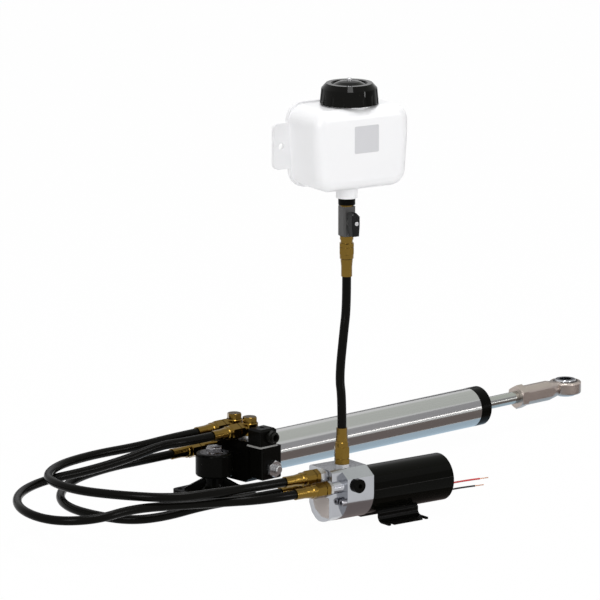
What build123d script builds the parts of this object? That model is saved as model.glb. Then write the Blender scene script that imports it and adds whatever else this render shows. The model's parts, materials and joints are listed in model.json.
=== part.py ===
from build123d import *
import math
import os

# Hydraulic steering ram on a ball foot, with its reversible pump, header tank and hoses.
# Millimetres. +X runs from the ball foot to the rod eye, +Z is up.
# The origin is the centre of the foot plate's underside, on the mounting surface.

# Clearances
RUN_GAP = 0.06          # radial, a shaft or ball that turns or slides in its bore
SEAT_GAP = 0.1          # radial, a fixed piece in its bore
AIR_GAP = 0.3           # a moving piece beside a fixed one

# Ball foot
RAM_Z = 40.0            # ball centre and ram axis above the mounting surface
PLATE_SIDE = 78.0
PLATE_THICK = 6.0
PLATE_CORNER = 10.0
FOOT_BOLT_SPACING = 60.0
FOOT_BOLT_R = 3.3
COLUMN_R = 12.5
COLUMN_FLARE_R = 18.0
GUSSET_THICK = 4.0
GUSSET_REACH = 37.0
BALL_R = 17.0
BALL_FLAT = 15.8        # ball centre to its top flat
BALL_SEAT = 14.5        # ball centre down to the column top
STUD_R = 5.0
STUD_HEX = 5.0

# Ram body casting
BOSS_R = 23.5
BOSS_UP = 13.0          # boss above the ball centre
BOSS_DOWN = 16.0        # boss below the ball centre
BOSS_MOUTH_R = 19.0
SEAT_HALF = 10.0        # half height of the spherical seat
RING_R = 18.0
RING_DEPTH = 4.5
ARM_WIDTH = 30.0
BLOCK_X0 = 30.0
BLOCK_X1 = 74.0
BLOCK_HALF_Y = 28.0
BLOCK_UP = 25.0
BLOCK_DOWN = 26.0
BLOCK_EDGE = 4.0

# Cylinder
TUBE_R = 25.0
TUBE_WALL = 3.5
TUBE_SOCKET = 10.0      # depth of the tube in the block
TUBE_END_X = 437.0
GLAND_LENGTH = 19.5
GLAND_NOSE = 22.0
WIPER_LIP = 1.5
ROD_R = 8.0
ROD_SPIGOT_R = 6.0
PISTON_X = 114.0
PISTON_LENGTH = 28.0
PISTON_NUT_THICK = 8.0
PISTON_NUT_AF = 19.0
SEAL_WIDTH = 4.0
SEAL_DEPTH = 3.0

# Rod end
LOCK_NUT_X = 522.0
LOCK_NUT_THICK = 12.0
LOCK_NUT_AF = 27.0
EYE_X = 612.0
EYE_R = 20.5
EYE_THICK = 16.0
SHANK_R = 12.8
SHANK_FLATS = 23.0
SHANK_TAPER = 18.0
THREAD_DEPTH = 30.0
EYE_BALL_R = 14.0
EYE_BALL_WIDTH = 21.0
EYE_BORE_R = 8.0

# Bypass valve on the block's near side
STEM_X = 48.0
STEM_DROP = 6.0         # stem axis below the ram axis
STEM_R = 6.0
STEM_DEPTH = 12.0
STEM_TIP = 7.0
COIL_WIDTH = 32.0
COIL_THICK = 24.5
COIL_UP = 21.0
COIL_DOWN = 20.0
COIL_NUT_AF = 19.0
COIL_NUT_THICK = 7.0
GASKET_THICK = 2.0
CONNECTOR_X = 42.5
CONNECTOR_WIDTH = 27.0
CONNECTOR_HEIGHT = 21.0
CABLE_NUT_AF = 15.0
CABLE_NUT_THICK = 5.0
CABLE_COLLAR_R = 6.0
CABLE_HOLE_R = 4.2

# Hose fittings, which are all alike
HOSE_R = 5.5
NUT_AF = 17.0
NUT_LENGTH = 20.0
NIPPLE_R = 5.5
NIPPLE_STUB = 7.0
FERRULE_LENGTH = 29.0
FERRULE_COLLAR_R = 8.4
FERRULE_COLLAR = 5.0
FERRULE_CONE = 10.0
FERRULE_R = 6.7
ADAPTER_AF = 16.0
PORT_R = 5.5
PORT_DEPTH = 10.0

# Banjo unions on the block's top, and the elbow on its far side
BANJO_X = 46.0
BANJO_Y = 14.0
BANJO_Z = 78.0
BANJO_RING_R = 10.5
BANJO_RING_HALF = 8.0
BANJO_BOLT_R = 5.0
BANJO_HEAD_AF = 16.0
BANJO_HEAD = 7.0
BANJO_TAIL = 14.0       # banjo axis to the nut's near face
ELBOW_X = 46.0
ELBOW_Y = 37.0
ELBOW_Z = 50.0
ELBOW_R = 7.0
ELBOW_LEG = 35.0        # elbow axis to the nut's near face

# Pump. Its own x runs along the motor, away from the hoses; its origin is the end face's centre.
PUMP_X = -17.0
PUMP_Y = -221.0
PUMP_Z = 40.0
PUMP_TURN = -6.5
HEAD_START = -11.0      # end face of the head's tongue
HEAD_SHOULDER = 4.5     # where the full section starts, beside the tongue
HEAD_LENGTH = 44.0      # the head's face against the motor
HEAD_HALF = 35.0
HEAD_TOP = 36.5
HEAD_FLAT = 19.5        # half width of the top flat
HEAD_SIDE_TOP = 26.0
HEAD_ROUND_Z = 5.0      # centre of the round underside
TONGUE_NEAR = -24.0
TONGUE_FAR = 22.0
HEEL = [(22.5, -9.0), (16.5, -21.5), (9.0, -27.5), (1.0, -31.0)]
BOSS_PORT_R = 7.5
BOSS_PORT_FACE = -13.5
SHOULDER_BOLTS = [(-29.3, -3.0), (28.5, 16.0)]
SHOULDER_BOLT_R = 4.4
PUMP_PORTS = {"upper": (-8.0, 28.7, 10.0), "front": (-24.0, 16.0, 4.0), "rear": (8.0, 11.7, 4.8)}
TOP_PORT_X = 13.5
TOP_PORT_Y = -11.0
TOP_ADAPTER = 4.0
LOW_NUT_LENGTH = 21.5
LOW_FERRULE_LENGTH = 23.0
PLUG_X = 19.5
PLUG_Z = 16.8
PLUG_R = 8.5
PLUG_HEAD = 5.5
PLUG_HEX = 5.0

# Gear pair in the pump head
GEAR_TEETH = 12
GEAR_MODULE = 1.5
GEAR_WIDTH = 13.4
CHAMBER_DEPTH = 14.0
SHAFT_R = 4.0
SHAFT_START = 19.0

# Motor
CAN_R = 29.0
CAN_WALL = 3.0
END_CAP = 5.0
FRONT_PLATE = 8.0
BEARING_R = 11.0
BEARING_WIDTH = 7.0
MAGNET_THICK = 4.0
MAGNET_ARC = 130.0
CORE_R = 21.0
CORE_START = 18.0
CORE_LENGTH = 76.0
CORE_SLOTS = 12
COMMUTATOR_R = 9.0
COMMUTATOR_GAP = 4.0    # core to commutator
COMMUTATOR_LENGTH = 13.0
REAR_SPACE = 12.0       # commutator to the end cap
BRUSH_SIDE = 7.0
CARD_THICK = 2.5

# Motor saddle
SADDLE_START = 22.0
SADDLE_LENGTH = 60.0
SADDLE_THICK = 2.5
SADDLE_ANGLE = 29.0
SADDLE_FOOT_Y = 36.0
SADDLE_KNEE_Y = 14.5
SADDLE_BEND = 7.0
SLOT_WIDTH = 5.0
SLOT_DEPTH = 8.0
SLOT_INSET = 6.0

# Motor leads
LEAD_R = 1.1
LEAD_TIP_R = 0.6
LEAD_TIP = 13.0
LEADS = {"red_lead": (-8.0, -9.0, 54.0), "black_lead": (-8.0, -17.0, 47.0)}
LEAD_DROOP = 0.5

# Header tank. Its own x runs along the front face; its origin is the middle of the underside.
TANK_X = 13.0
TANK_Y = -226.7
TANK_Z = 419.0
TANK_TURN = -12.0
TANK_WIDTH = 131.0
TANK_FOOT_WIDTH = 122.0
TANK_DEPTH = 70.0
TANK_HEIGHT = 99.0
TANK_WALL = 2.5
TANK_CORNER = 20.0
TANK_EDGE = 13.0        # rounding of the front rim
TANK_BACK_EDGE = 4.0
TANK_SHOULDER = 150.0
EAR_REACH = 21.5
EAR_HEIGHT = 56.0
EAR_Z = 50.0
EAR_THICK = 5.0
EAR_CORNER = 7.0
EAR_HOLE_R = 4.0
FLANGE_REACH = 2.5
FLANGE_THICK = 4.0
FILLER_R = 26.0
FILLER_WALL = 3.0
FILLER_HEIGHT = 20.0
FILLER_COLLAR = 1.2
OUTLET_X = -3.3
OUTLET_R = 13.0
OUTLET_DROP = 14.4
OUTLET_BORE_R = 7.0
CAP_R = 35.3
CAP_BEVEL_R = 33.5
CAP_TOP_R = 28.0
CAP_HEIGHT = 24.5
CAP_BEVEL = 6.0
CAP_ROOF = 4.0
CAP_RECESS_R = 22.0
CAP_RECESS = 2.0
CAP_DOME = 2.7          # crown of the dome above the top ring
CAP_FLUTES = 16
CAP_FLUTE_R = 4.0
CAP_FLUTE_DEPTH = 1.3
VENT_R = 3.3
VENT_HEIGHT = 3.0
VENT_SEAT = 1.5

# Shut-off valve under the tank
TAIL_RING_R = 10.3
TAIL_RING = 8.4
TAP_WASHER_R = 8.0
TAP_WASHER = 1.8
TAP_SIDE = 16.5
TAP_HEIGHT = 36.7
TAP_BALL_R = 6.8
TAP_BORE_R = 4.0
TAP_STEM_R = 3.0
LEVER_Y = 12.0
LEVER_THICK = 10.0
LEVER_WIDTH = 11.0
LEVER_UP = 13.0
LEVER_DOWN = 16.0
LEVER_SCREW_R = 2.6
TAP_TAIL_R = 8.2
TAP_TAIL = 8.4
TOP_NUT_LENGTH = 14.0
TOP_FERRULE_LENGTH = 27.0

# Hose routes between the first and last runs, in the ram's frame
HOSE_LEAD_OUT = 42.0
SUPPLY_LEAD_OUT = 38.0
UPPER_ROUTE = [(-112, 17, 75), (-173, 29, 73), (-236, 25, 70.5), (-286, -10, 69), (-296, -72, 67.5),
               (-272, -134, 67.5), (-231, -183, 66), (-180, -203, 68)]
FRONT_ROUTE = [(-95, -5, 77.5), (-142, 1, 67.5), (-200, 10, 60), (-264, 20, 57), (-324, -2, 54),
               (-364, -54, 51), (-362, -108, 46.5), (-326, -148, 49), (-272, -153, 54.5),
               (-219, -170, 53), (-172, -202, 54.5)]
REAR_ROUTE = [(-136, 46, 47.5), (-198, 42, 43), (-248, 9, 37.5), (-272, -37, 35), (-269, -86, 33.5),
              (-250, -126, 31.5), (-215, -150, 35), (-170, -169, 44.5)]
SUPPLY_BOW = [(-0.8, 0.9, 0.36), (-3.7, 3.4, 0.67)]

# Places worked out from the sizes above
BALL_CENTRE = (0, 0, RAM_Z)
BLOCK_TOP = RAM_Z + BLOCK_UP
COLUMN_TOP = RAM_Z - BALL_SEAT
STEM_Z = RAM_Z - STEM_DROP
COIL_FACE_Y = -(BLOCK_HALF_Y + COIL_THICK)
COIL_TOP = RAM_Z + COIL_UP
TUBE_START_X = BLOCK_X1 - TUBE_SOCKET
GEAR_PITCH_R = GEAR_MODULE * GEAR_TEETH / 2
COMMUTATOR_START = CORE_START + CORE_LENGTH + COMMUTATOR_GAP
CAN_LENGTH = COMMUTATOR_START + COMMUTATOR_LENGTH + REAR_SPACE
CHAMBER_X = HEAD_LENGTH - CHAMBER_DEPTH
CAN_END_X = HEAD_LENGTH + CAN_LENGTH
PUMP_PLACE = Location((PUMP_X, PUMP_Y, PUMP_Z), (0, 0, PUMP_TURN))
TANK_PLACE = Location((TANK_X, TANK_Y, TANK_Z), (0, 0, TANK_TURN))
TAP_PLACE = TANK_PLACE * Pos(OUTLET_X, 0, 0)
OUTLET_END = -OUTLET_DROP
RING_END = OUTLET_END - TAIL_RING
TAP_TOP = RING_END - TAP_WASHER
TAP_MIDDLE = TAP_TOP - TAP_HEIGHT / 2
TAP_BOTTOM = TAP_TOP - TAP_HEIGHT
SUPPLY_NUT_Z = TAP_BOTTOM - TAP_TAIL
CAP_UNDERSIDE = TANK_HEIGHT + FILLER_COLLAR + AIR_GAP

BASE = (Align.CENTER, Align.CENTER, Align.MIN)
PARTS = {}


def add(name, solid):
    """Keeps a finished node under its name."""
    PARTS[name] = solid


def looking(point, direction):
    """A placement whose own z points along direction from point."""
    return Plane(origin=point, z_dir=direction).location


def rod(radius, length, place=Location()):
    """A round bar that starts at place and runs along its z."""
    return place * Cylinder(radius, length, align=BASE)


def sleeve(radius, bore, length, place=Location()):
    """A round bar with a hole through it."""
    return rod(radius, length, place) - rod(bore, length, place)


def block(x0, x1, y0, y1, z0, z1):
    """A box between two corners."""
    return Pos(x0, y0, z0) * Box(x1 - x0, y1 - y0, z1 - z0, align=Align.MIN)


def turned(outline):
    """A solid of revolution about z from (radius, height) points."""
    profile = Plane.XZ * Polyline(*outline, close=True)
    return revolve(make_face(profile), Axis.Z, 360)


def hexagon(across_flats, length, place=Location()):
    """A hexagonal bar that starts at place."""
    return place * extrude(RegularPolygon(across_flats / 2, 6, major_radius=False), length)


def hex_nut(across_flats, length, bore, place=Location()):
    """A hexagonal nut with both ends turned down at the corners."""
    corner = across_flats / math.sqrt(3)
    drop = (corner - across_flats / 2) * 0.6
    blank = turned([(0, 0), (across_flats / 2, 0), (corner, drop), (corner, length - drop),
                    (across_flats / 2, length), (0, length)])
    nut = (hexagon(across_flats, length) & blank) - rod(bore, length)
    return place * nut


def swivel_nut(place, length=NUT_LENGTH):
    """The nut of a hose fitting, with the groove that marks its collar."""
    groove = sleeve(NUT_AF, NUT_AF / 2 - 0.4, 1.2, Pos(0, 0, length * 0.3))
    return place * (hex_nut(NUT_AF, length, NIPPLE_R + SEAT_GAP) - groove)


def ferrule(place, length=FERRULE_LENGTH):
    """The crimped tail of a hose fitting: its nose is in the nut, and its far face meets the hose."""
    return place * turned([
        (0, -NIPPLE_STUB), (NIPPLE_R, -NIPPLE_STUB), (NIPPLE_R, 0), (FERRULE_COLLAR_R, 0),
        (FERRULE_COLLAR_R, FERRULE_COLLAR), (FERRULE_COLLAR_R - 1, FERRULE_COLLAR + 1),
        (FERRULE_COLLAR_R - 1, FERRULE_COLLAR + 3), (FERRULE_R, FERRULE_COLLAR + FERRULE_CONE),
        (FERRULE_R, length), (0, length)])


def adapter(length, place, across_flats=ADAPTER_AF):
    """A port adapter: stub in the port, round collar, hexagon, and nipple in the swivel nut."""
    hex_length = min(length, 8.0)
    body = rod(PORT_R - SEAT_GAP, PORT_DEPTH - 1, Pos(0, 0, 1 - PORT_DEPTH))
    if length > hex_length:
        body += rod(across_flats / 2 - 0.8, length - hex_length)
    body += hexagon(across_flats, hex_length, Pos(0, 0, length - hex_length))
    body += rod(NIPPLE_R, NIPPLE_STUB, Pos(0, 0, length))
    return place * body


def fitting(place, length, nut_length=NUT_LENGTH, tail_length=FERRULE_LENGTH):
    """Nut and ferrule of one hose end, and the point and direction at which its hose starts."""
    nut = swivel_nut(place * Pos(0, 0, length), nut_length)
    tail = ferrule(place * Pos(0, 0, length + nut_length), tail_length)
    start = place * Pos(0, 0, length + nut_length + tail_length)
    direction = Plane(place).z_dir
    return nut, tail, start.position, direction


def foot_base():
    """Plate, column and gussets, cast as one."""
    plate = extrude(RectangleRounded(PLATE_SIDE, PLATE_SIDE, PLATE_CORNER), PLATE_THICK)
    half = FOOT_BOLT_SPACING / 2
    for x in (-half, half):
        for y in (-half, half):
            plate -= rod(FOOT_BOLT_R, PLATE_THICK, Pos(x, y, 0))
    column = turned([(0, 0), (COLUMN_FLARE_R, 0), (COLUMN_FLARE_R, PLATE_THICK + 2),
                     (COLUMN_FLARE_R - 2, PLATE_THICK + 4), (COLUMN_R + 1, PLATE_THICK + 6),
                     (COLUMN_R, PLATE_THICK + 9), (COLUMN_R, COLUMN_TOP - 3),
                     (COLUMN_R - 3.5, COLUMN_TOP), (0, COLUMN_TOP)])
    shoulder = RAM_Z - BOSS_DOWN - 2
    rib = Polyline((0, PLATE_THICK - 1), (GUSSET_REACH, PLATE_THICK - 1),
                   (GUSSET_REACH, PLATE_THICK + 2), (COLUMN_R - 1, shoulder), (0, shoulder), close=True)
    gusset = extrude(make_face(Plane.XZ * rib), GUSSET_THICK / 2, both=True)
    foot = plate + column
    for k in range(4):
        foot += Rot(0, 0, 45 + 90 * k) * gusset
    return foot - rod(STUD_R + SEAT_GAP, COLUMN_TOP, Pos(0, 0, 2))


def foot_ball():
    """Ball with its flats, and the stud that holds it in the column, with a hexagon socket on top."""
    ball = Pos(*BALL_CENTRE) * Sphere(BALL_R)
    ball &= block(-BALL_R, BALL_R, -BALL_R, BALL_R, RAM_Z - BALL_SEAT, RAM_Z + BALL_FLAT)
    ball += rod(STUD_R, COLUMN_TOP, Pos(0, 0, 2))
    return ball - hexagon(STUD_HEX, 6, Pos(0, 0, RAM_Z + BALL_FLAT - 6))


def port_block():
    """Ram body casting: ball socket, arm, and the block that holds the tube and the ports."""
    boss = rod(BOSS_R, BOSS_UP + BOSS_DOWN, Pos(0, 0, RAM_Z - BOSS_DOWN))
    rims = boss.edges().filter_by(GeomType.CIRCLE)
    boss = fillet(rims, 3.0)
    arm = block(0, BLOCK_X0 + 4, -ARM_WIDTH / 2, ARM_WIDTH / 2,
                RAM_Z - BOSS_DOWN + 2, RAM_Z + BOSS_UP - 3)
    body = block(BLOCK_X0, BLOCK_X1, -BLOCK_HALF_Y, BLOCK_HALF_Y, RAM_Z - BLOCK_DOWN, BLOCK_TOP)
    body = chamfer(body.edges().filter_by(Axis.X), BLOCK_EDGE)
    casting = boss + arm + body
    casting -= socket_space()
    casting -= rod(RING_R + SEAT_GAP, RING_DEPTH, Pos(0, 0, RAM_Z + BOSS_UP - RING_DEPTH))
    casting -= rod(TUBE_R + SEAT_GAP, TUBE_SOCKET, looking((TUBE_START_X, 0, RAM_Z), (1, 0, 0)))
    for y in (-BANJO_Y, BANJO_Y):
        casting -= rod(BANJO_BOLT_R + SEAT_GAP, PORT_DEPTH, Pos(BANJO_X, y, BLOCK_TOP - PORT_DEPTH))
    casting -= rod(STEM_R + SEAT_GAP, STEM_DEPTH, looking((STEM_X, -BLOCK_HALF_Y, STEM_Z), (0, 1, 0)))
    casting -= rod(PORT_R, PORT_DEPTH, looking((ELBOW_X, BLOCK_HALF_Y, ELBOW_Z), (0, -1, 0)))
    return casting


def socket_space():
    """The ball's running space in the boss, with its flared mouth below."""
    space = Pos(*BALL_CENTRE) * Sphere(BALL_R + RUN_GAP)
    throat_r = math.sqrt((BALL_R + RUN_GAP) ** 2 - SEAT_HALF ** 2)
    mouth = turned([(0, RAM_Z - BOSS_DOWN - 1), (BOSS_MOUTH_R, RAM_Z - BOSS_DOWN - 1),
                    (BOSS_MOUTH_R, RAM_Z - BOSS_DOWN), (throat_r, RAM_Z - SEAT_HALF),
                    (0, RAM_Z - SEAT_HALF)])
    return space + mouth


def socket_ring():
    """Screwed ring that closes the socket over the ball."""
    top = RAM_Z + BOSS_UP
    ring = rod(RING_R, RING_DEPTH, Pos(0, 0, top - RING_DEPTH))
    ring -= Pos(*BALL_CENTRE) * Sphere(BALL_R + RUN_GAP)
    for k in range(4):
        ring -= Rot(0, 0, 45 + 90 * k) * Pos(RING_R - 2.6, 0, top) * Box(3, 2.4, 3)
    return ring


def cylinder_tube():
    """Polished tube between the block and the gland."""
    place = looking((TUBE_START_X, 0, RAM_Z), (1, 0, 0))
    return sleeve(TUBE_R, TUBE_R - TUBE_WALL, TUBE_END_X - TUBE_START_X, place)


def gland():
    """Black end gland: a collar flush with the tube, and a nose in the tube that guides the rod."""
    inner = TUBE_R - TUBE_WALL
    shape = turned([(0, -GLAND_NOSE), (inner - SEAT_GAP, -GLAND_NOSE), (inner - SEAT_GAP, 0),
                    (TUBE_R, 0), (TUBE_R, GLAND_LENGTH - 2), (TUBE_R - 2, GLAND_LENGTH),
                    (0, GLAND_LENGTH)])
    shape -= rod(ROD_R + RUN_GAP, GLAND_NOSE + GLAND_LENGTH, Pos(0, 0, -GLAND_NOSE))
    shape -= rod(ROD_R + 3.5, SEAL_WIDTH, Pos(0, 0, GLAND_LENGTH - SEAL_WIDTH))
    shape -= sleeve(ROD_R + 3, ROD_R, SEAL_WIDTH, Pos(0, 0, -GLAND_NOSE / 2))
    return looking((TUBE_END_X, 0, RAM_Z), (1, 0, 0)) * shape


def rod_seals():
    """Lip wiper in the gland's mouth, and the pressure seal in its inner groove."""
    outer = ROD_R + 3.5
    wiper = turned([(ROD_R + RUN_GAP, -SEAL_WIDTH), (outer - SEAT_GAP, -SEAL_WIDTH),
                    (outer - SEAT_GAP, 0.4), (ROD_R + 1.2, WIPER_LIP), (ROD_R + RUN_GAP, WIPER_LIP)])
    wiper = looking((TUBE_END_X + GLAND_LENGTH, 0, RAM_Z), (1, 0, 0)) * wiper
    groove = looking((TUBE_END_X - GLAND_NOSE / 2, 0, RAM_Z), (1, 0, 0))
    return Compound(children=[wiper, sleeve(ROD_R + 3 - SEAT_GAP, ROD_R + RUN_GAP, SEAL_WIDTH, groove)])


def piston():
    """Piston with two seal grooves."""
    radius = TUBE_R - TUBE_WALL - RUN_GAP
    shape = rod(radius, PISTON_LENGTH) - rod(ROD_SPIGOT_R + SEAT_GAP, PISTON_LENGTH)
    for z in (SEAL_WIDTH, PISTON_LENGTH - 2 * SEAL_WIDTH):
        shape -= sleeve(radius + 1, radius - SEAL_DEPTH, SEAL_WIDTH, Pos(0, 0, z))
    return looking((PISTON_X, 0, RAM_Z), (1, 0, 0)) * shape


def piston_seals():
    """The two rings in the piston's grooves."""
    radius = TUBE_R - TUBE_WALL - RUN_GAP
    rings = [sleeve(radius, radius - SEAL_DEPTH + SEAT_GAP, SEAL_WIDTH, Pos(0, 0, z))
             for z in (SEAL_WIDTH, PISTON_LENGTH - 2 * SEAL_WIDTH)]
    place = looking((PISTON_X, 0, RAM_Z), (1, 0, 0))
    return Compound(children=[place * ring for ring in rings])


def piston_rod():
    """Rod with a spigot for the piston and its nut, and its thread end in the eye."""
    spigot = PISTON_NUT_THICK + PISTON_LENGTH
    tip = LOCK_NUT_X + LOCK_NUT_THICK + THREAD_DEPTH - 2
    start = PISTON_X - PISTON_NUT_THICK
    shape = rod(ROD_SPIGOT_R, spigot) + rod(ROD_R, tip - start - spigot, Pos(0, 0, spigot))
    shape = chamfer(shape.faces().sort_by(Axis.Z)[-1].edges(), 1.0)
    return looking((start, 0, RAM_Z), (1, 0, 0)) * shape


def rod_eye():
    """Rod end: threaded shank with two flats, waist, and the ring that holds the bearing ball."""
    shank_x = LOCK_NUT_X + LOCK_NUT_THICK
    length = EYE_X - shank_x
    waist = length - EYE_R + 4
    shank = turned([(0, 0), (SHANK_R - 1, 0), (SHANK_R, 1), (SHANK_R, waist - SHANK_TAPER),
                    (SHANK_R - 3.5, waist), (SHANK_R - 4.5, length - 4), (0, length - 4)])
    shank &= Pos(0, 0, length / 2) * Box(EYE_R * 2, SHANK_FLATS, length)
    shank -= rod(ROD_R + SEAT_GAP, THREAD_DEPTH)
    ring = rod(EYE_R, EYE_THICK, Pos(EYE_X, 0, RAM_Z - EYE_THICK / 2))
    ring = fillet(ring.edges().filter_by(GeomType.CIRCLE), 2.5)
    eye = looking((shank_x, 0, RAM_Z), (1, 0, 0)) * shank + ring
    eye -= Pos(EYE_X, 0, RAM_Z) * Sphere(EYE_BALL_R + RUN_GAP)
    return eye


def eye_ball():
    """Bearing ball of the rod end, with the tiller pin's bore."""
    half = EYE_BALL_WIDTH / 2
    ball = Pos(EYE_X, 0, RAM_Z) * Sphere(EYE_BALL_R)
    ball &= Pos(EYE_X, 0, RAM_Z) * Box(60, 60, EYE_BALL_WIDTH)
    return ball - rod(EYE_BORE_R, EYE_BALL_WIDTH, Pos(EYE_X, 0, RAM_Z - half))


def bypass_stem():
    """Armature tube of the bypass valve, from its port to the tip beyond the coil nut."""
    length = STEM_DEPTH - 1 + COIL_THICK
    shape = rod(STEM_R, length)
    shape += rod(STEM_R - 0.8, COIL_NUT_THICK + STEM_TIP, Pos(0, 0, length))
    shape = chamfer(shape.faces().sort_by(Axis.Z)[-1].edges(), 1.2)
    return looking((STEM_X, 1 - BLOCK_HALF_Y + STEM_DEPTH - 2, STEM_Z), (0, -1, 0)) * shape


def bypass_coil():
    """Moulded coil on the stem."""
    x0 = STEM_X - COIL_WIDTH / 2
    coil = block(x0, x0 + COIL_WIDTH, COIL_FACE_Y, -BLOCK_HALF_Y, RAM_Z - COIL_DOWN, COIL_TOP)
    coil = fillet(coil.edges().filter_by(Axis.Z), 2.0)
    coil = chamfer(coil.faces().sort_by(Axis.Z)[0].edges(), 1.5)
    return coil - rod(STEM_R + SEAT_GAP, COIL_THICK, looking((STEM_X, COIL_FACE_Y, STEM_Z), (0, 1, 0)))


def coil_nut():
    """Nut that holds the coil on its stem."""
    place = looking((STEM_X, COIL_FACE_Y, STEM_Z), (0, -1, 0))
    return hex_nut(COIL_NUT_AF, COIL_NUT_THICK, STEM_R - 0.8 + SEAT_GAP, place)


def connector_gasket():
    """Flat gasket between coil and connector."""
    half = CONNECTOR_WIDTH / 2 + 1
    return block(CONNECTOR_X - half, CONNECTOR_X + half, COIL_FACE_Y - 0.5, -BLOCK_HALF_Y - 0.5,
                 COIL_TOP, COIL_TOP + GASKET_THICK)


def connector_shell():
    """Square plug-on connector with bevelled top, a screw well and its cable outlet."""
    half = CONNECTOR_WIDTH / 2
    z0 = COIL_TOP + GASKET_THICK
    shell = block(CONNECTOR_X - half, CONNECTOR_X + half, COIL_FACE_Y, -BLOCK_HALF_Y - 0.8,
                  z0, z0 + CONNECTOR_HEIGHT)
    shell = chamfer(shell.faces().sort_by(Axis.Z)[-1].edges(), 2.5)
    shell = fillet(shell.edges().filter_by(Axis.Z), 1.5)
    shell -= rod(3.2, 4, Pos(CONNECTOR_X, (COIL_FACE_Y - BLOCK_HALF_Y) / 2, z0 + CONNECTOR_HEIGHT - 4))
    return shell - rod(CABLE_HOLE_R, 10, cable_outlet() * Pos(0, 0, -10))


def cable_outlet():
    """Placement of the connector's cable outlet, on its near face."""
    z = COIL_TOP + GASKET_THICK + CONNECTOR_HEIGHT / 2
    return looking((CONNECTOR_X + 4.0, COIL_FACE_Y, z), (0, -1, 0))


def cable_nut():
    """Gland nut and open collar of the cable outlet."""
    nut = hex_nut(CABLE_NUT_AF, CABLE_NUT_THICK, CABLE_HOLE_R)
    collar = sleeve(CABLE_COLLAR_R, CABLE_HOLE_R, 3.5, Pos(0, 0, CABLE_NUT_THICK))
    return cable_outlet() * (nut + collar)


def banjo_washers():
    """Bonded washers under the two banjo rings."""
    thick = BANJO_Z - BANJO_RING_HALF - BLOCK_TOP
    return [sleeve(BANJO_RING_R - 1.5, BANJO_BOLT_R + SEAT_GAP, thick, Pos(BANJO_X, y, BLOCK_TOP))
            for y in (-BANJO_Y, BANJO_Y)]


def banjo_ring(y):
    """Banjo ring with its tail towards the hose."""
    ring = rod(BANJO_RING_R, 2 * BANJO_RING_HALF, Pos(BANJO_X, y, BANJO_Z - BANJO_RING_HALF))
    ring = chamfer(ring.edges().filter_by(GeomType.CIRCLE), 1.0)
    tail = looking((BANJO_X, y, BANJO_Z), (-1, 0, 0))
    ring += rod(NUT_AF / 2 - 1.5, BANJO_TAIL, tail)
    ring += rod(NIPPLE_R, NIPPLE_STUB, tail * Pos(0, 0, BANJO_TAIL))
    return ring - rod(BANJO_BOLT_R + SEAT_GAP, 3 * BANJO_RING_HALF, Pos(BANJO_X, y, BLOCK_TOP))


def banjo_bolt(y):
    """Hollow bolt of one banjo union, with its hexagon head."""
    seat = BANJO_Z + BANJO_RING_HALF
    start = BLOCK_TOP - PORT_DEPTH + 1
    bolt = rod(BANJO_BOLT_R, seat - start, Pos(BANJO_X, y, start))
    return bolt + hex_nut(BANJO_HEAD_AF, BANJO_HEAD, 0.01, Pos(BANJO_X, y, seat))


def side_elbow():
    """Elbow on the block's far side, turned towards the hoses."""
    stub = rod(PORT_R - SEAT_GAP, PORT_DEPTH - 1, looking((ELBOW_X, BLOCK_HALF_Y, ELBOW_Z), (0, -1, 0)))
    neck = rod(ELBOW_R, ELBOW_Y - BLOCK_HALF_Y, looking((ELBOW_X, BLOCK_HALF_Y, ELBOW_Z), (0, 1, 0)))
    knee = Pos(ELBOW_X, ELBOW_Y, ELBOW_Z) * Sphere(ELBOW_R + 1.2)
    knee &= block(0, 100, BLOCK_HALF_Y, 100, 0, 100)
    leg_place = looking((ELBOW_X, ELBOW_Y, ELBOW_Z), (-1, 0, 0))
    leg = rod(ELBOW_R, ELBOW_LEG, leg_place)
    leg += rod(NIPPLE_R, NIPPLE_STUB, leg_place * Pos(0, 0, ELBOW_LEG))
    return stub + neck + knee + leg


def head_section():
    """Outline of the pump head seen along the motor: round below, flat sides, bevelled flat top."""
    h, t, f = HEAD_HALF, HEAD_TOP, HEAD_FLAT
    upper = Polyline((h, HEAD_ROUND_Z), (h, HEAD_SIDE_TOP), (f, t), (-f, t), (-h, HEAD_SIDE_TOP),
                     (-h, HEAD_ROUND_Z))
    lower = ThreePointArc((-h, HEAD_ROUND_Z), (0, HEAD_ROUND_Z - h), (h, HEAD_ROUND_Z))
    return make_face([*upper.edges(), lower])


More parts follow.
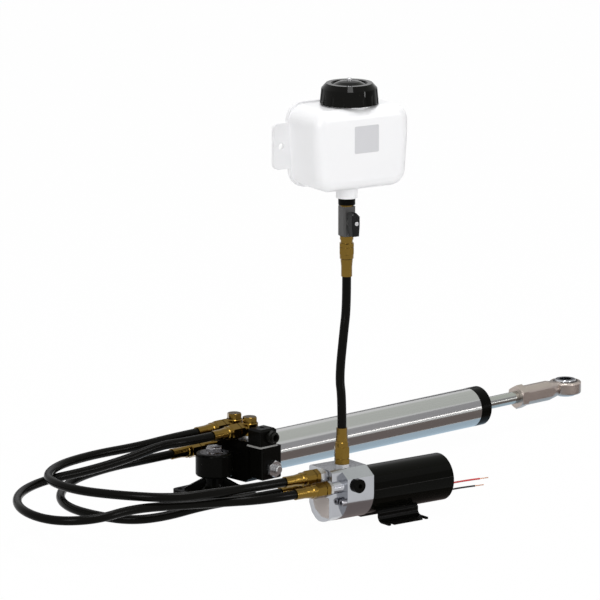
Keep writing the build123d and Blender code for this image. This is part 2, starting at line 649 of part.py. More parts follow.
def pump_head():
    """Pump head: a full section against the motor, and a narrower tongue with the hose ports."""
    h, top = HEAD_HALF + 1, HEAD_TOP + 1
    body = Pos(HEAD_START, 0, 0) * extrude(Plane.YZ * head_section(), HEAD_LENGTH - HEAD_START)
    body -= block(HEAD_START, HEAD_SHOULDER, -h, TONGUE_NEAR, -h, top)
    body -= block(HEAD_START, HEAD_SHOULDER, TONGUE_FAR, h, -h, top)
    heel = make_face(Polyline(*HEEL, (1.0, -h), (h, -h), (h, HEEL[0][1]), close=True))
    body -= Pos(HEAD_START, 0, 0) * extrude(Plane.YZ * heel, HEAD_SHOULDER - HEAD_START)
    y, z, _ = PUMP_PORTS["front"]
    boss_length = HEAD_SHOULDER + 1 - BOSS_PORT_FACE
    body += rod(BOSS_PORT_R, boss_length, looking((HEAD_SHOULDER + 1, y, z), (-1, 0, 0)))
    for key, (y, z, _) in PUMP_PORTS.items():
        body -= rod(PORT_R, PORT_DEPTH, looking((port_face(key), y, z), (1, 0, 0)))
    body -= rod(PORT_R, PORT_DEPTH, Pos(TOP_PORT_X, TOP_PORT_Y, HEAD_TOP - PORT_DEPTH))
    body -= rod(PORT_R, PORT_DEPTH, looking((PLUG_X, -HEAD_HALF, PLUG_Z), (0, 1, 0)))
    for z in (0, -2 * GEAR_PITCH_R):
        chamber = GEAR_PITCH_R + GEAR_MODULE + AIR_GAP / 2
        body -= rod(chamber, CHAMBER_DEPTH, looking((CHAMBER_X, 0, z), (1, 0, 0)))
        shaft_bore = CHAMBER_X - SHAFT_START + 1
        body -= rod(SHAFT_R + RUN_GAP, shaft_bore, looking((SHAFT_START - 1, 0, z), (1, 0, 0)))
    return body


def port_face(key):
    """Where the pump's face stands at a port: the front port has a boss of its own."""
    return BOSS_PORT_FACE if key == "front" else HEAD_START


def shoulder_bolts():
    """Socket-head bolts on the shoulders beside the tongue."""
    bolts = []
    for y, z in SHOULDER_BOLTS:
        place = looking((HEAD_SHOULDER, y, z), (-1, 0, 0))
        head = chamfer(rod(SHOULDER_BOLT_R, 6.0).faces().sort_by(Axis.Z)[-1].edges(), 0.5)
        bolts.append(place * (head - hexagon(4.0, 3.0, Pos(0, 0, 3.0))))
    return bolts


def side_plug():
    """Socket plug in the pump head's near face."""
    place = looking((PLUG_X, -HEAD_HALF, PLUG_Z), (0, -1, 0))
    head = rod(PLUG_R, PLUG_HEAD)
    head = chamfer(head.faces().sort_by(Axis.Z)[-1].edges(), 0.8)
    head += rod(PORT_R - SEAT_GAP, PORT_DEPTH - 1, Pos(0, 0, 1 - PORT_DEPTH))
    return place * (head - hexagon(PLUG_HEX, 4.0, Pos(0, 0, PLUG_HEAD - 4.0)))


def gear(tooth_offset):
    """Straight-sided gear about z. tooth_offset turns it, in tooth pitches."""
    pitch = 360 / GEAR_TEETH
    tip, root = GEAR_PITCH_R + GEAR_MODULE - AIR_GAP / 2, GEAR_PITCH_R - 1.3 * GEAR_MODULE
    points = []
    for k in range(GEAR_TEETH):
        middle = (k + tooth_offset) * pitch
        for radius, share in ((root, -0.33), (tip, -0.12), (tip, 0.12), (root, 0.33)):
            angle = math.radians(middle + share * pitch)
            points.append((radius * math.cos(angle), radius * math.sin(angle)))
    return extrude(make_face(Polyline(*points, close=True)), GEAR_WIDTH)


def driven_gear():
    """Idler gear with its axle, in the pump's frame."""
    place = looking((CHAMBER_X + AIR_GAP, 0, -2 * GEAR_PITCH_R), (1, 0, 0))
    axle = CHAMBER_X + AIR_GAP - SHAFT_START
    wheel = gear(0.5) + rod(SHAFT_R, axle, Pos(0, 0, -axle))
    return place * wheel


def armature():
    """Motor shaft with the slotted core and commutator."""
    rear = HEAD_LENGTH + CAN_LENGTH - 1
    shaft = rod(SHAFT_R, rear - SHAFT_START, looking((SHAFT_START, 0, 0), (1, 0, 0)))
    place = looking((HEAD_LENGTH + CORE_START, 0, 0), (1, 0, 0))
    core = rod(CORE_R, CORE_LENGTH)
    slot = Pos(CORE_R - 3, 0, CORE_LENGTH / 2) * Box(8, 2.4, CORE_LENGTH)
    for k in range(CORE_SLOTS):
        core -= Rot(0, 0, 360 / CORE_SLOTS * k) * slot
    track_place = looking((HEAD_LENGTH + COMMUTATOR_START, 0, 0), (1, 0, 0))
    brush_track = rod(COMMUTATOR_R, COMMUTATOR_LENGTH, track_place)
    return shaft + place * core + brush_track


def drive_gear():
    """Gear on the motor shaft."""
    place = looking((CHAMBER_X + AIR_GAP, 0, 0), (1, 0, 0))
    return place * (gear(0.0) - rod(SHAFT_R + SEAT_GAP, GEAR_WIDTH))


def motor_front_plate():
    """Plate inside the can against the pump head, which holds the front bearing."""
    place = looking((HEAD_LENGTH, 0, 0), (1, 0, 0))
    plate = rod(CAN_R - CAN_WALL - SEAT_GAP, FRONT_PLATE) - rod(SHAFT_R + 1, FRONT_PLATE)
    return place * (plate - rod(BEARING_R + SEAT_GAP, BEARING_WIDTH, Pos(0, 0, FRONT_PLATE - BEARING_WIDTH)))


def motor_bearings():
    """Front and rear shaft bearings."""
    fronts = HEAD_LENGTH + FRONT_PLATE - BEARING_WIDTH
    rears = CAN_END_X - BEARING_WIDTH
    return [sleeve(BEARING_R, SHAFT_R + RUN_GAP, BEARING_WIDTH, looking((x, 0, 0), (1, 0, 0)))
            for x in (fronts, rears)]


def motor_can():
    """Black steel motor tube."""
    return sleeve(CAN_R, CAN_R - CAN_WALL, CAN_LENGTH, looking((HEAD_LENGTH, 0, 0), (1, 0, 0)))


def motor_end_cap():
    """Rear cap with a bearing boss inside and the holes for the leads."""
    cap = rod(CAN_R, END_CAP)
    cap = fillet(cap.faces().sort_by(Axis.Z)[-1].edges(), 2.0)
    cap += sleeve(BEARING_R + 4, BEARING_R + SEAT_GAP, BEARING_WIDTH, Pos(0, 0, -BEARING_WIDTH))
    cap = looking((CAN_END_X, 0, 0), (1, 0, 0)) * cap
    for y, z, _ in LEADS.values():
        cap -= rod(LEAD_R + 0.9, END_CAP + 1, looking((CAN_END_X - 0.5, y, z), (1, 0, 0)))
    return cap


def motor_magnets():
    """Two field magnets glued to the can."""
    outer = CAN_R - CAN_WALL
    place = looking((HEAD_LENGTH + CORE_START, 0, 0), (1, 0, 0))
    ring = sleeve(outer, outer - MAGNET_THICK, CORE_LENGTH, place)
    width = 2 * outer * math.cos(math.radians(MAGNET_ARC / 2))
    ring -= Pos(HEAD_LENGTH + CORE_START + CORE_LENGTH / 2, 0, 0) * Box(CORE_LENGTH, 4 * outer, width)
    return list(ring.solids())


def brush_card():
    """Ring card with two brushes that ride on the commutator."""
    x = HEAD_LENGTH + COMMUTATOR_START
    card = sleeve(CAN_R - CAN_WALL - SEAT_GAP, COMMUTATOR_R + 2, CARD_THICK,
                  looking((x - CARD_THICK - 0.6, 0, 0), (1, 0, 0)))
    reach = COMMUTATOR_R + AIR_GAP
    for side in (1, -1):
        card += block(x - 0.7, x + BRUSH_SIDE, *sorted((side * reach, side * (reach + 10))),
                      -BRUSH_SIDE / 2, BRUSH_SIDE / 2)
    return card


def bent_strip(points, thick, radii):
    """Cross-section of a bent sheet along points, with the middle bend radius at each inner point."""
    normals = []
    for (x0, y0), (x1, y1) in zip(points, points[1:]):
        run = math.hypot(x1 - x0, y1 - y0)
        normals.append(((y0 - y1) / run, (x1 - x0) / run))
    sides = {1: [], -1: []}
    for k, (x, y) in enumerate(points):
        before, after = normals[max(k - 1, 0)], normals[min(k, len(normals) - 1)]
        share = 1 + before[0] * after[0] + before[1] * after[1]
        mitre = ((before[0] + after[0]) / share, (before[1] + after[1]) / share)
        for hand, side in sides.items():
            side.append((x + hand * mitre[0] * thick / 2, y + hand * mitre[1] * thick / 2))
    face = make_face(Polyline(*sides[1], *reversed(sides[-1]), close=True))
    for k, radius in enumerate(radii, start=1):
        turn = normals[k - 1][0] * normals[k][1] - normals[k - 1][1] * normals[k][0]
        for hand, side in sides.items():
            bend = radius - math.copysign(thick / 2, turn) * hand
            corner = face.vertices().sort_by_distance((*side[k], 0))[0]
            face = fillet(corner, bend)
    return face


def motor_saddle():
    """Bent sheet saddle under the motor, with open slots in its feet."""
    outer = CAN_R + SADDLE_THICK
    tangent = math.radians(-90 + SADDLE_ANGLE)
    middle = CAN_R + SADDLE_THICK / 2
    foot_z = -PUMP_Z + SADDLE_THICK / 2
    edge = (middle * math.cos(tangent), middle * math.sin(tangent))
    along = (-math.sin(tangent), math.cos(tangent))
    before = (edge[0] - 3 * along[0], edge[1] - 3 * along[1])
    leg = bent_strip([before, edge, (SADDLE_KNEE_Y, foot_z), (SADDLE_FOOT_Y, foot_z)],
                     SADDLE_THICK, [1.5, SADDLE_BEND])
    wedge = make_face(Polyline((0, 0), (-60 * math.cos(tangent), 60 * math.sin(tangent)), (0, -90),
                               (60 * math.cos(tangent), 60 * math.sin(tangent)), close=True))
    cradle = (Circle(outer) - Circle(CAN_R)) & wedge
    shape = cradle + leg + mirror(leg, Plane.YZ)
    sheet = extrude(Plane.YZ * shape, SADDLE_LENGTH)
    sheet = Pos(HEAD_LENGTH + SADDLE_START, 0, 0) * sheet
    sheet -= rod(CAN_R, 200, looking((0, 0, 0), (1, 0, 0)))
    first = HEAD_LENGTH + SADDLE_START + SLOT_INSET
    last = HEAD_LENGTH + SADDLE_START + SADDLE_LENGTH - SLOT_INSET
    for x in (first, last):
        for side in (1, -1):
            slot = Box(SLOT_WIDTH, 2 * SLOT_DEPTH, 3 * SADDLE_THICK)
            sheet -= Pos(x, side * SADDLE_FOOT_Y, -PUMP_Z) * slot
    return sheet


def lead_points(name):
    """Route of one motor lead in the pump's frame."""
    y, z, length = LEADS[name]
    start = CAN_END_X + END_CAP
    return [(start, y, z), (start + length * 0.35, y - 0.1, z + 0.1),
            (start + length * 0.7, y - 0.3, z - LEAD_DROOP * 0.2), (start + length, y - 0.9, z - LEAD_DROOP)]


def lead_tip(name):
    """Stripped end of one motor lead."""
    points = lead_points(name)
    direction = Vector(*points[-1]) - Vector(*points[-2])
    return rod(LEAD_TIP_R, LEAD_TIP, looking(points[-1], direction))


def tank_outline(inset=0.0):
    """Front outline of the tank, a little narrower at the foot, with round corners."""
    top, foot = TANK_WIDTH / 2 - inset, TANK_FOOT_WIDTH / 2 - inset
    points = [(-foot, inset), (foot, inset), (top, TANK_HEIGHT * 0.62), (top, TANK_HEIGHT - inset),
              (-top, TANK_HEIGHT - inset), (-top, TANK_HEIGHT * 0.62)]
    face = make_face(Polyline(*points, close=True))
    shoulders = face.vertices().filter_by(lambda v: inset + 1 < v.Y < TANK_HEIGHT - inset - 1)
    face = fillet(shoulders, TANK_SHOULDER)
    corners = face.vertices().filter_by(lambda v: v.Y < inset + 1 or v.Y > TANK_HEIGHT - inset - 1)
    return fillet(corners, TANK_CORNER - inset)


def tank_body(inset=0.0):
    """Solid of the tank between its front and back faces, with rounded rims."""
    half = TANK_DEPTH / 2 - inset
    solid = extrude(Plane.XZ * tank_outline(inset), half, both=True)
    solid = fillet(solid.faces().sort_by(Axis.Y)[0].edges(), TANK_EDGE - inset)
    return fillet(solid.faces().sort_by(Axis.Y)[-1].edges(), TANK_BACK_EDGE - inset)


def tank_shell():
    """Blow-moulded tank with its filler neck, outlet, back flange and two ears."""
    shell = tank_body()
    ear_x = TANK_WIDTH / 2 + EAR_REACH
    back = TANK_DEPTH / 2
    flange = Pos(0, back, 0) * extrude(Plane.XZ * tank_outline(-FLANGE_REACH), FLANGE_THICK)
    shell += flange - rod(CAP_R + 1, 2 * FLANGE_REACH, Pos(0, 0, TANK_HEIGHT))
    ear_plate = extrude(RectangleRounded(2 * ear_x, EAR_HEIGHT, EAR_CORNER), EAR_THICK)
    shell += Pos(0, back, EAR_Z) * Rot(90, 0, 0) * ear_plate
    shell += rod(FILLER_R + 3, FILLER_COLLAR + 4, Pos(0, 0, TANK_HEIGHT - 4))
    shell += rod(FILLER_R, FILLER_HEIGHT + 4, Pos(0, 0, TANK_HEIGHT - 4))
    shell += rod(OUTLET_R, OUTLET_DROP + 4, Pos(OUTLET_X, 0, OUTLET_END))
    shell -= tank_body(TANK_WALL)
    shell -= rod(FILLER_R - FILLER_WALL, FILLER_HEIGHT + 12, Pos(0, 0, TANK_HEIGHT - 10))
    shell -= rod(OUTLET_BORE_R, OUTLET_DROP + 8, Pos(OUTLET_X, 0, OUTLET_END))
    for side in (1, -1):
        hole = looking((side * ear_hole_x(), back - EAR_THICK - 1, EAR_Z), (0, 1, 0))
        shell -= rod(EAR_HOLE_R, EAR_THICK + 2, hole)
    return shell


def ear_hole_x():
    """Distance of the ear holes from the tank's middle."""
    return TANK_WIDTH / 2 + EAR_REACH / 2


def filler_cap():
    """Fluted screw cap with a ring round a low dome, and a seat for the vent."""
    top, crown = CAP_HEIGHT, CAP_HEIGHT + CAP_DOME
    cap = turned([(0, 0), (CAP_R, 0), (CAP_BEVEL_R, top - CAP_BEVEL), (CAP_TOP_R, top),
                  (CAP_RECESS_R, top), (CAP_RECESS_R - 1, top - CAP_RECESS),
                  (CAP_RECESS_R * 0.8, top - CAP_RECESS * 0.4), (CAP_RECESS_R * 0.55, top + CAP_DOME * 0.6),
                  (CAP_RECESS_R * 0.3, crown), (0, crown)])
    for k in range(CAP_FLUTES):
        centre = CAP_R + CAP_FLUTE_R - CAP_FLUTE_DEPTH
        cap -= Rot(0, 0, 360 / CAP_FLUTES * k) * rod(CAP_FLUTE_R, top - CAP_BEVEL, Pos(centre, 0, 0))
    cap -= rod(FILLER_R + AIR_GAP, top - CAP_ROOF)
    cap -= rod(VENT_R + SEAT_GAP, VENT_SEAT + 1, Pos(0, 0, crown - VENT_SEAT))
    return Pos(0, 0, CAP_UNDERSIDE) * cap


def cap_vent():
    """Bright vent button in the cap's crown."""
    vent = rod(VENT_R, VENT_SEAT + VENT_HEIGHT)
    vent = fillet(vent.faces().sort_by(Axis.Z)[-1].edges(), 1.0)
    return Pos(0, 0, CAP_UNDERSIDE + CAP_HEIGHT + CAP_DOME - VENT_SEAT) * vent


def cap_seal():
    """Flat seal in the cap's roof, over the neck's rim."""
    roof = CAP_UNDERSIDE + CAP_HEIGHT - CAP_ROOF
    rim = TANK_HEIGHT + FILLER_HEIGHT
    return sleeve(FILLER_R - 0.2, FILLER_R - FILLER_WALL, roof - rim - AIR_GAP, Pos(0, 0, rim + AIR_GAP))


def tail_ring():
    """Dark union ring between the tank's outlet and the tap."""
    ring = sleeve(TAIL_RING_R, TAP_BORE_R + 1, TAIL_RING, Pos(0, 0, RING_END))
    return ring + sleeve(OUTLET_BORE_R - SEAT_GAP, TAP_BORE_R + 1, 8, Pos(0, 0, OUTLET_END))


def tap_body():
    """Tap body with a through bore, the ball's space and the stem's hole."""
    body = Pos(0, 0, TAP_BOTTOM) * Box(TAP_SIDE, TAP_SIDE, TAP_HEIGHT, align=BASE)
    body = fillet(body.edges().filter_by(Axis.Z), 3.0)
    body = chamfer(body.faces().sort_by(Axis.Z)[0].edges(), 1.0)
    body += rod(TAP_STEM_R + 2.5, 3, looking((0, -TAP_SIDE / 2, TAP_MIDDLE), (0, -1, 0)))
    body -= rod(TAP_BORE_R + 1, TAP_HEIGHT, Pos(0, 0, TAP_BOTTOM))
    body -= Pos(0, 0, TAP_MIDDLE) * Sphere(TAP_BALL_R + RUN_GAP)
    return body - rod(TAP_STEM_R + RUN_GAP, TAP_SIDE, looking((0, 0, TAP_MIDDLE), (0, -1, 0)))


def tap_ball():
    """Ball, stem and bore of the tap, as one piece."""
    ball = Pos(0, 0, TAP_MIDDLE) * Sphere(TAP_BALL_R)
    ball += rod(TAP_STEM_R, LEVER_Y + 4, looking((0, 0, TAP_MIDDLE), (0, -1, 0)))
    return ball - rod(TAP_BORE_R, 4 * TAP_BALL_R, Pos(0, 0, TAP_MIDDLE - 2 * TAP_BALL_R))


def tap_lever():
    """Black lever: a thick tapered grip on the stem, along the pipe when the tap is open."""
    w, up, down = LEVER_WIDTH / 2, LEVER_UP, LEVER_DOWN
    outline = Polyline((-w + 1, -down), (w - 1, -down), (w, -4), (w, up - 5), (w - 5, up),
                       (-w + 1, up), (-w, up - 3), (-w, -4), close=True)
    grip = extrude(Plane.XZ * make_face(outline), LEVER_THICK)
    grip = Pos(0, -LEVER_Y, TAP_MIDDLE) * grip
    grip = chamfer(grip.faces().sort_by(Axis.Y)[0].edges(), 1.0)
    return grip - rod(TAP_STEM_R + SEAT_GAP, 4 + SEAT_GAP, looking((0, -LEVER_Y, TAP_MIDDLE), (0, -1, 0)))


def lever_screw():
    """Bright screw head on the lever."""
    place = looking((0, -LEVER_Y - LEVER_THICK, TAP_MIDDLE), (0, -1, 0))
    return place * fillet(Cylinder(LEVER_SCREW_R, 1.6, align=BASE).faces().sort_by(Axis.Z)[-1].edges(), 0.6)


def tap_tail():
    """Brass tail of the tap, with the nipple for the supply hose's nut, and the washer on its top."""
    body = rod(TAP_TAIL_R, TAP_TAIL / 2, Pos(0, 0, TAP_BOTTOM - TAP_TAIL / 2))
    body += rod(TAP_TAIL_R - 0.8, TAP_TAIL, Pos(0, 0, SUPPLY_NUT_Z))
    body += rod(NIPPLE_R, NIPPLE_STUB, Pos(0, 0, SUPPLY_NUT_Z - NIPPLE_STUB))
    body += rod(TAP_BORE_R + 1 - SEAT_GAP, 6, Pos(0, 0, TAP_BOTTOM))
    washer = sleeve(TAP_WASHER_R, TAP_BORE_R + 1, TAP_WASHER, Pos(0, 0, TAP_TOP))
    return Compound(children=[body, washer])


def arc_radii(points):
    """Bend radius at each inner point: 0.45 of the shorter run over the tangent of half the turn."""
    radii = []
    for a, b, c in zip(points, points[1:], points[2:]):
        first, second = Vector(*b) - Vector(*a), Vector(*c) - Vector(*b)
        half_turn = math.radians(first.get_angle(second)) / 2
        radii.append(0.45 * min(first.length, second.length) / math.tan(half_turn))
    return radii


def tube_along(name, points, radius):
    """Round tube of straight runs and tangent arcs, checked against its section times its length."""
    radii = arc_radii(points)
    path = FilletPolyline(*points, radius=radii)
    start = Plane(origin=points[0], z_dir=Vector(*points[1]) - Vector(*points[0]))
    tube = sweep(start * Circle(radius), path=path)
    expected = math.pi * radius ** 2 * path.length
    print(f"{name}: length {path.length:.1f}, tightest radius {min(radii):.0f}, "
          f"volume over section times length {tube.volume / expected:.4f}")
    return tube


def hose(name, first, last, route):
    """Hose between two fittings, each given as its point and outward direction."""
    (start, out), (end, back) = first, last
    points = [start, start + out * HOSE_LEAD_OUT, *[Vector(*p) for p in route],
              end + back * HOSE_LEAD_OUT, end]
    print(name, [tuple(round(c, 1) for c in p) for p in points])
    add(name, tube_along(name, [tuple(p) for p in points], HOSE_R))


def build_foot():
    """Foot casting and ball."""
    add("foot_base", foot_base())
    add("foot_ball", foot_ball())


def build_cylinder():
    """Ram body, tube, gland, piston and rod."""
    makers = [port_block, socket_ring, cylinder_tube, gland, rod_seals, piston,
              piston_seals, piston_rod, rod_eye, eye_ball]
    for maker in makers:
        add(maker.__name__, maker())
    add("piston_nut", hex_nut(PISTON_NUT_AF, PISTON_NUT_THICK, ROD_SPIGOT_R + SEAT_GAP,
                              looking((PISTON_X - PISTON_NUT_THICK, 0, RAM_Z), (1, 0, 0))))
    add("lock_nut", hex_nut(LOCK_NUT_AF, LOCK_NUT_THICK, ROD_R + SEAT_GAP,
                            looking((LOCK_NUT_X, 0, RAM_Z), (1, 0, 0))))


def build_bypass():
    """Bypass valve with its coil and connector."""
    for maker in (bypass_stem, bypass_coil, coil_nut, connector_gasket, connector_shell, cable_nut):
        add(maker.__name__, maker())


def build_pump():
    """Pump head, gears and motor, on their saddle."""
    singles = [pump_head, side_plug, driven_gear, drive_gear, armature, motor_front_plate, motor_can,
               motor_end_cap, brush_card, motor_saddle]
    groups = [shoulder_bolts, motor_bearings, motor_magnets]
    for maker in singles:
        add(maker.__name__, PUMP_PLACE * maker())
    for maker in groups:
        add(maker.__name__, Compound(children=[PUMP_PLACE * solid for solid in maker()]))


def build_leads():
    """Motor leads with their stripped ends."""
    for name in LEADS:
        route = [(PUMP_PLACE * Pos(*p)).position for p in lead_points(name)]
        print(name, [tuple(round(c, 2) for c in p) for p in route])
        add(name, PUMP_PLACE * tube_along(name, lead_points(name), LEAD_R))
    add("lead_tips", Compound(children=[PUMP_PLACE * lead_tip(name) for name in LEADS]))


def build_tank():
    """Header tank with its cap and tap."""
    for maker in (tank_shell, filler_cap, cap_vent, cap_seal):
        add(maker.__name__, TANK_PLACE * maker())
    for maker in (tail_ring, tap_body, tap_ball, tap_lever, lever_screw, tap_tail):
        add(maker.__name__, TAP_PLACE * maker())


def build_hoses():
    """Fittings and hoses, from each port on the ram or tank to its port on the pump."""
    ram_ports = {
        "upper": (looking((BANJO_X, BANJO_Y, BANJO_Z), (-1, 0, 0)), BANJO_TAIL),
        "front": (looking((BANJO_X, -BANJO_Y, BANJO_Z), (-1, 0, 0)), BANJO_TAIL),
        "rear": (looking((ELBOW_X, ELBOW_Y, ELBOW_Z), (-1, 0, 0)), ELBOW_LEG)}
    routes = {"upper": UPPER_ROUTE, "front": FRONT_ROUTE, "rear": REAR_ROUTE}
    ram_nuts, ram_tails, pump_nuts, pump_tails, adapters = [], [], [], [], []
    for key, route in routes.items():
        nut, tail, *ram_end = fitting(*ram_ports[key])
        ram_nuts.append(nut)
        ram_tails.append(tail)
        y, z, length = PUMP_PORTS[key]
        place = PUMP_PLACE * looking((port_face(key), y, z), (-1, 0, 0))
        adapters.append(adapter(length, place))
        nut, tail, *pump_end = fitting(place, length)
        pump_nuts.append(nut)
        pump_tails.append(tail)
        hose(f"{key}_hose", ram_end, pump_end, route)
    add("banjo_washers", Compound(children=banjo_washers()))
    add("banjo_rings", Compound(children=[banjo_ring(y) for y in (-BANJO_Y, BANJO_Y)]))
    add("banjo_bolts", Compound(children=[banjo_bolt(y) for y in (-BANJO_Y, BANJO_Y)]))
    add("side_elbow", side_elbow())
    add("ram_hose_nuts", Compound(children=ram_nuts))
    add("ram_hose_ferrules", Compound(children=ram_tails))
    build_supply(pump_nuts, pump_tails, adapters)
    add("pump_adapters", Compound(children=adapters))
    add("fixed_hose_nuts", Compound(children=pump_nuts))
    add("fixed_hose_ferrules", Compound(children=pump_tails))


def build_supply(nuts, tails, adapters):
    """Supply hose from the tap down to the pump's top port; its fittings join the pump's lists."""
    top_place = TAP_PLACE * looking((0, 0, SUPPLY_NUT_Z), (0, 0, -1))
    low_place = PUMP_PLACE * Pos(TOP_PORT_X, TOP_PORT_Y, HEAD_TOP)
    top_nut, top_tail, top, down = fitting(top_place, 0.0, TOP_NUT_LENGTH, TOP_FERRULE_LENGTH)
    low_nut, low_tail, low, up = fitting(low_place, TOP_ADAPTER, LOW_NUT_LENGTH, LOW_FERRULE_LENGTH)
    adapters.append(adapter(TOP_ADAPTER, low_place))
    nuts.extend([top_nut, low_nut])
    tails.extend([top_tail, low_tail])
    bows = [top + (low - top) * share + Vector(x, y, 0) for x, y, share in SUPPLY_BOW]
    points = [tuple(p) for p in (top, top + down * SUPPLY_LEAD_OUT, *bows, low + up * SUPPLY_LEAD_OUT, low)]
    print("supply_hose", [tuple(round(c, 1) for c in p) for p in points])
    add("supply_hose", tube_along("supply_hose", points, HOSE_R))


def main():
    """Builds every node and writes one STEP file for each."""
    for build in (build_foot, build_cylinder, build_bypass, build_pump, build_leads, build_tank, build_hoses):
        build()
    os.makedirs("parts", exist_ok=True)
    for name, solid in PARTS.items():
        export_step(solid, f"parts/{name}.step")
    print(len(PARTS), "nodes")


main()
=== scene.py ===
"""Looks of a hydraulic steering ram with its ball foot, pump, header tank and hoses.

Metres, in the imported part's frame: +X runs along the ram to the rod eye and +Z is up.
"""

import json
import logging
import math
from dataclasses import dataclass
from enum import Enum

import bmesh
import bpy
from mathutils import Matrix, Vector

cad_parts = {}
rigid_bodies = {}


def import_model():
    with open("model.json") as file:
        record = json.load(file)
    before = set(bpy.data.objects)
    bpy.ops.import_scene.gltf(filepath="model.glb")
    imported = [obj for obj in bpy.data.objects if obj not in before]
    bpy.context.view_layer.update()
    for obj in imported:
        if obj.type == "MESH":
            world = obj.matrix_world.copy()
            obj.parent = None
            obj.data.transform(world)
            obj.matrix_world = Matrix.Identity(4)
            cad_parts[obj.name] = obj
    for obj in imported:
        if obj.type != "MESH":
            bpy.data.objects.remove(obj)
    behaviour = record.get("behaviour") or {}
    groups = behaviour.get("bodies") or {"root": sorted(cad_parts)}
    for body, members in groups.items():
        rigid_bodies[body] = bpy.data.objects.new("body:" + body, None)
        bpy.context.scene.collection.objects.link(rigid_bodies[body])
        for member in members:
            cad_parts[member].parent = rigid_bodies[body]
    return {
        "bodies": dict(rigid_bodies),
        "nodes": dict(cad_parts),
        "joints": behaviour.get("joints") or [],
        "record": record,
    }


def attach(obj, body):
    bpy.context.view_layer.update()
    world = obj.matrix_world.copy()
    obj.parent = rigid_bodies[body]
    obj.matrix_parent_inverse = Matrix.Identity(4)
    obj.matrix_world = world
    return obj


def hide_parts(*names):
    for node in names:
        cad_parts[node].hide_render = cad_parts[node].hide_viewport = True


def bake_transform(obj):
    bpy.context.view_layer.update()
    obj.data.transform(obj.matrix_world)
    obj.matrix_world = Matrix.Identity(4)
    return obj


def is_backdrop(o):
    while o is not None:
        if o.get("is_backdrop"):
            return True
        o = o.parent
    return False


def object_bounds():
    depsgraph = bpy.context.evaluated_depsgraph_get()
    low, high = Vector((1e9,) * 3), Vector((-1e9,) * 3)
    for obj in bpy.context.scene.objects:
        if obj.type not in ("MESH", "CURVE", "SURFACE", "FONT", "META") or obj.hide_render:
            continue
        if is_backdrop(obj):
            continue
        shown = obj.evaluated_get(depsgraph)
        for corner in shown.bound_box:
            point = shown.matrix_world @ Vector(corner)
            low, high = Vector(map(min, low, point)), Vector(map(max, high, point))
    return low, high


LOG = logging.getLogger("steering_ram")

Point = tuple[float, float, float]
Profile = tuple[tuple[float, float], ...]


class Grain(Enum):
    """The small-scale relief of a finish."""

    FINE = "fine"
    GLOSS = "gloss"
    MOULDED = "moulded"


class Axis(Enum):
    """A direction along which a part was drawn or polished."""

    X = (1.0, 0.0, 0.0)
    Y = (0.0, 1.0, 0.0)
    Z = (0.0, 0.0, 1.0)


@dataclass(frozen=True)
class Relief:
    """How deep, how wide and how uneven a grain is."""

    scale: float
    depth: float
    rough_spread: float


RELIEFS: dict[Grain, Relief] = {
    Grain.GLOSS: Relief(scale=160.0, depth=0.000006, rough_spread=0.03),
    Grain.FINE: Relief(scale=900.0, depth=0.00002, rough_spread=0.05),
    Grain.MOULDED: Relief(scale=700.0, depth=0.00004, rough_spread=0.06),
}


BROAD_SCALE = 38.0          # patches of wear, per metre
LINES_ALONG = 6.0           # polishing lines, per metre along the part
LINES_ACROSS = 1400.0       # and across it
LINE_DEPTH = 0.000004
LINE_ROUGH_SPREAD = 0.06


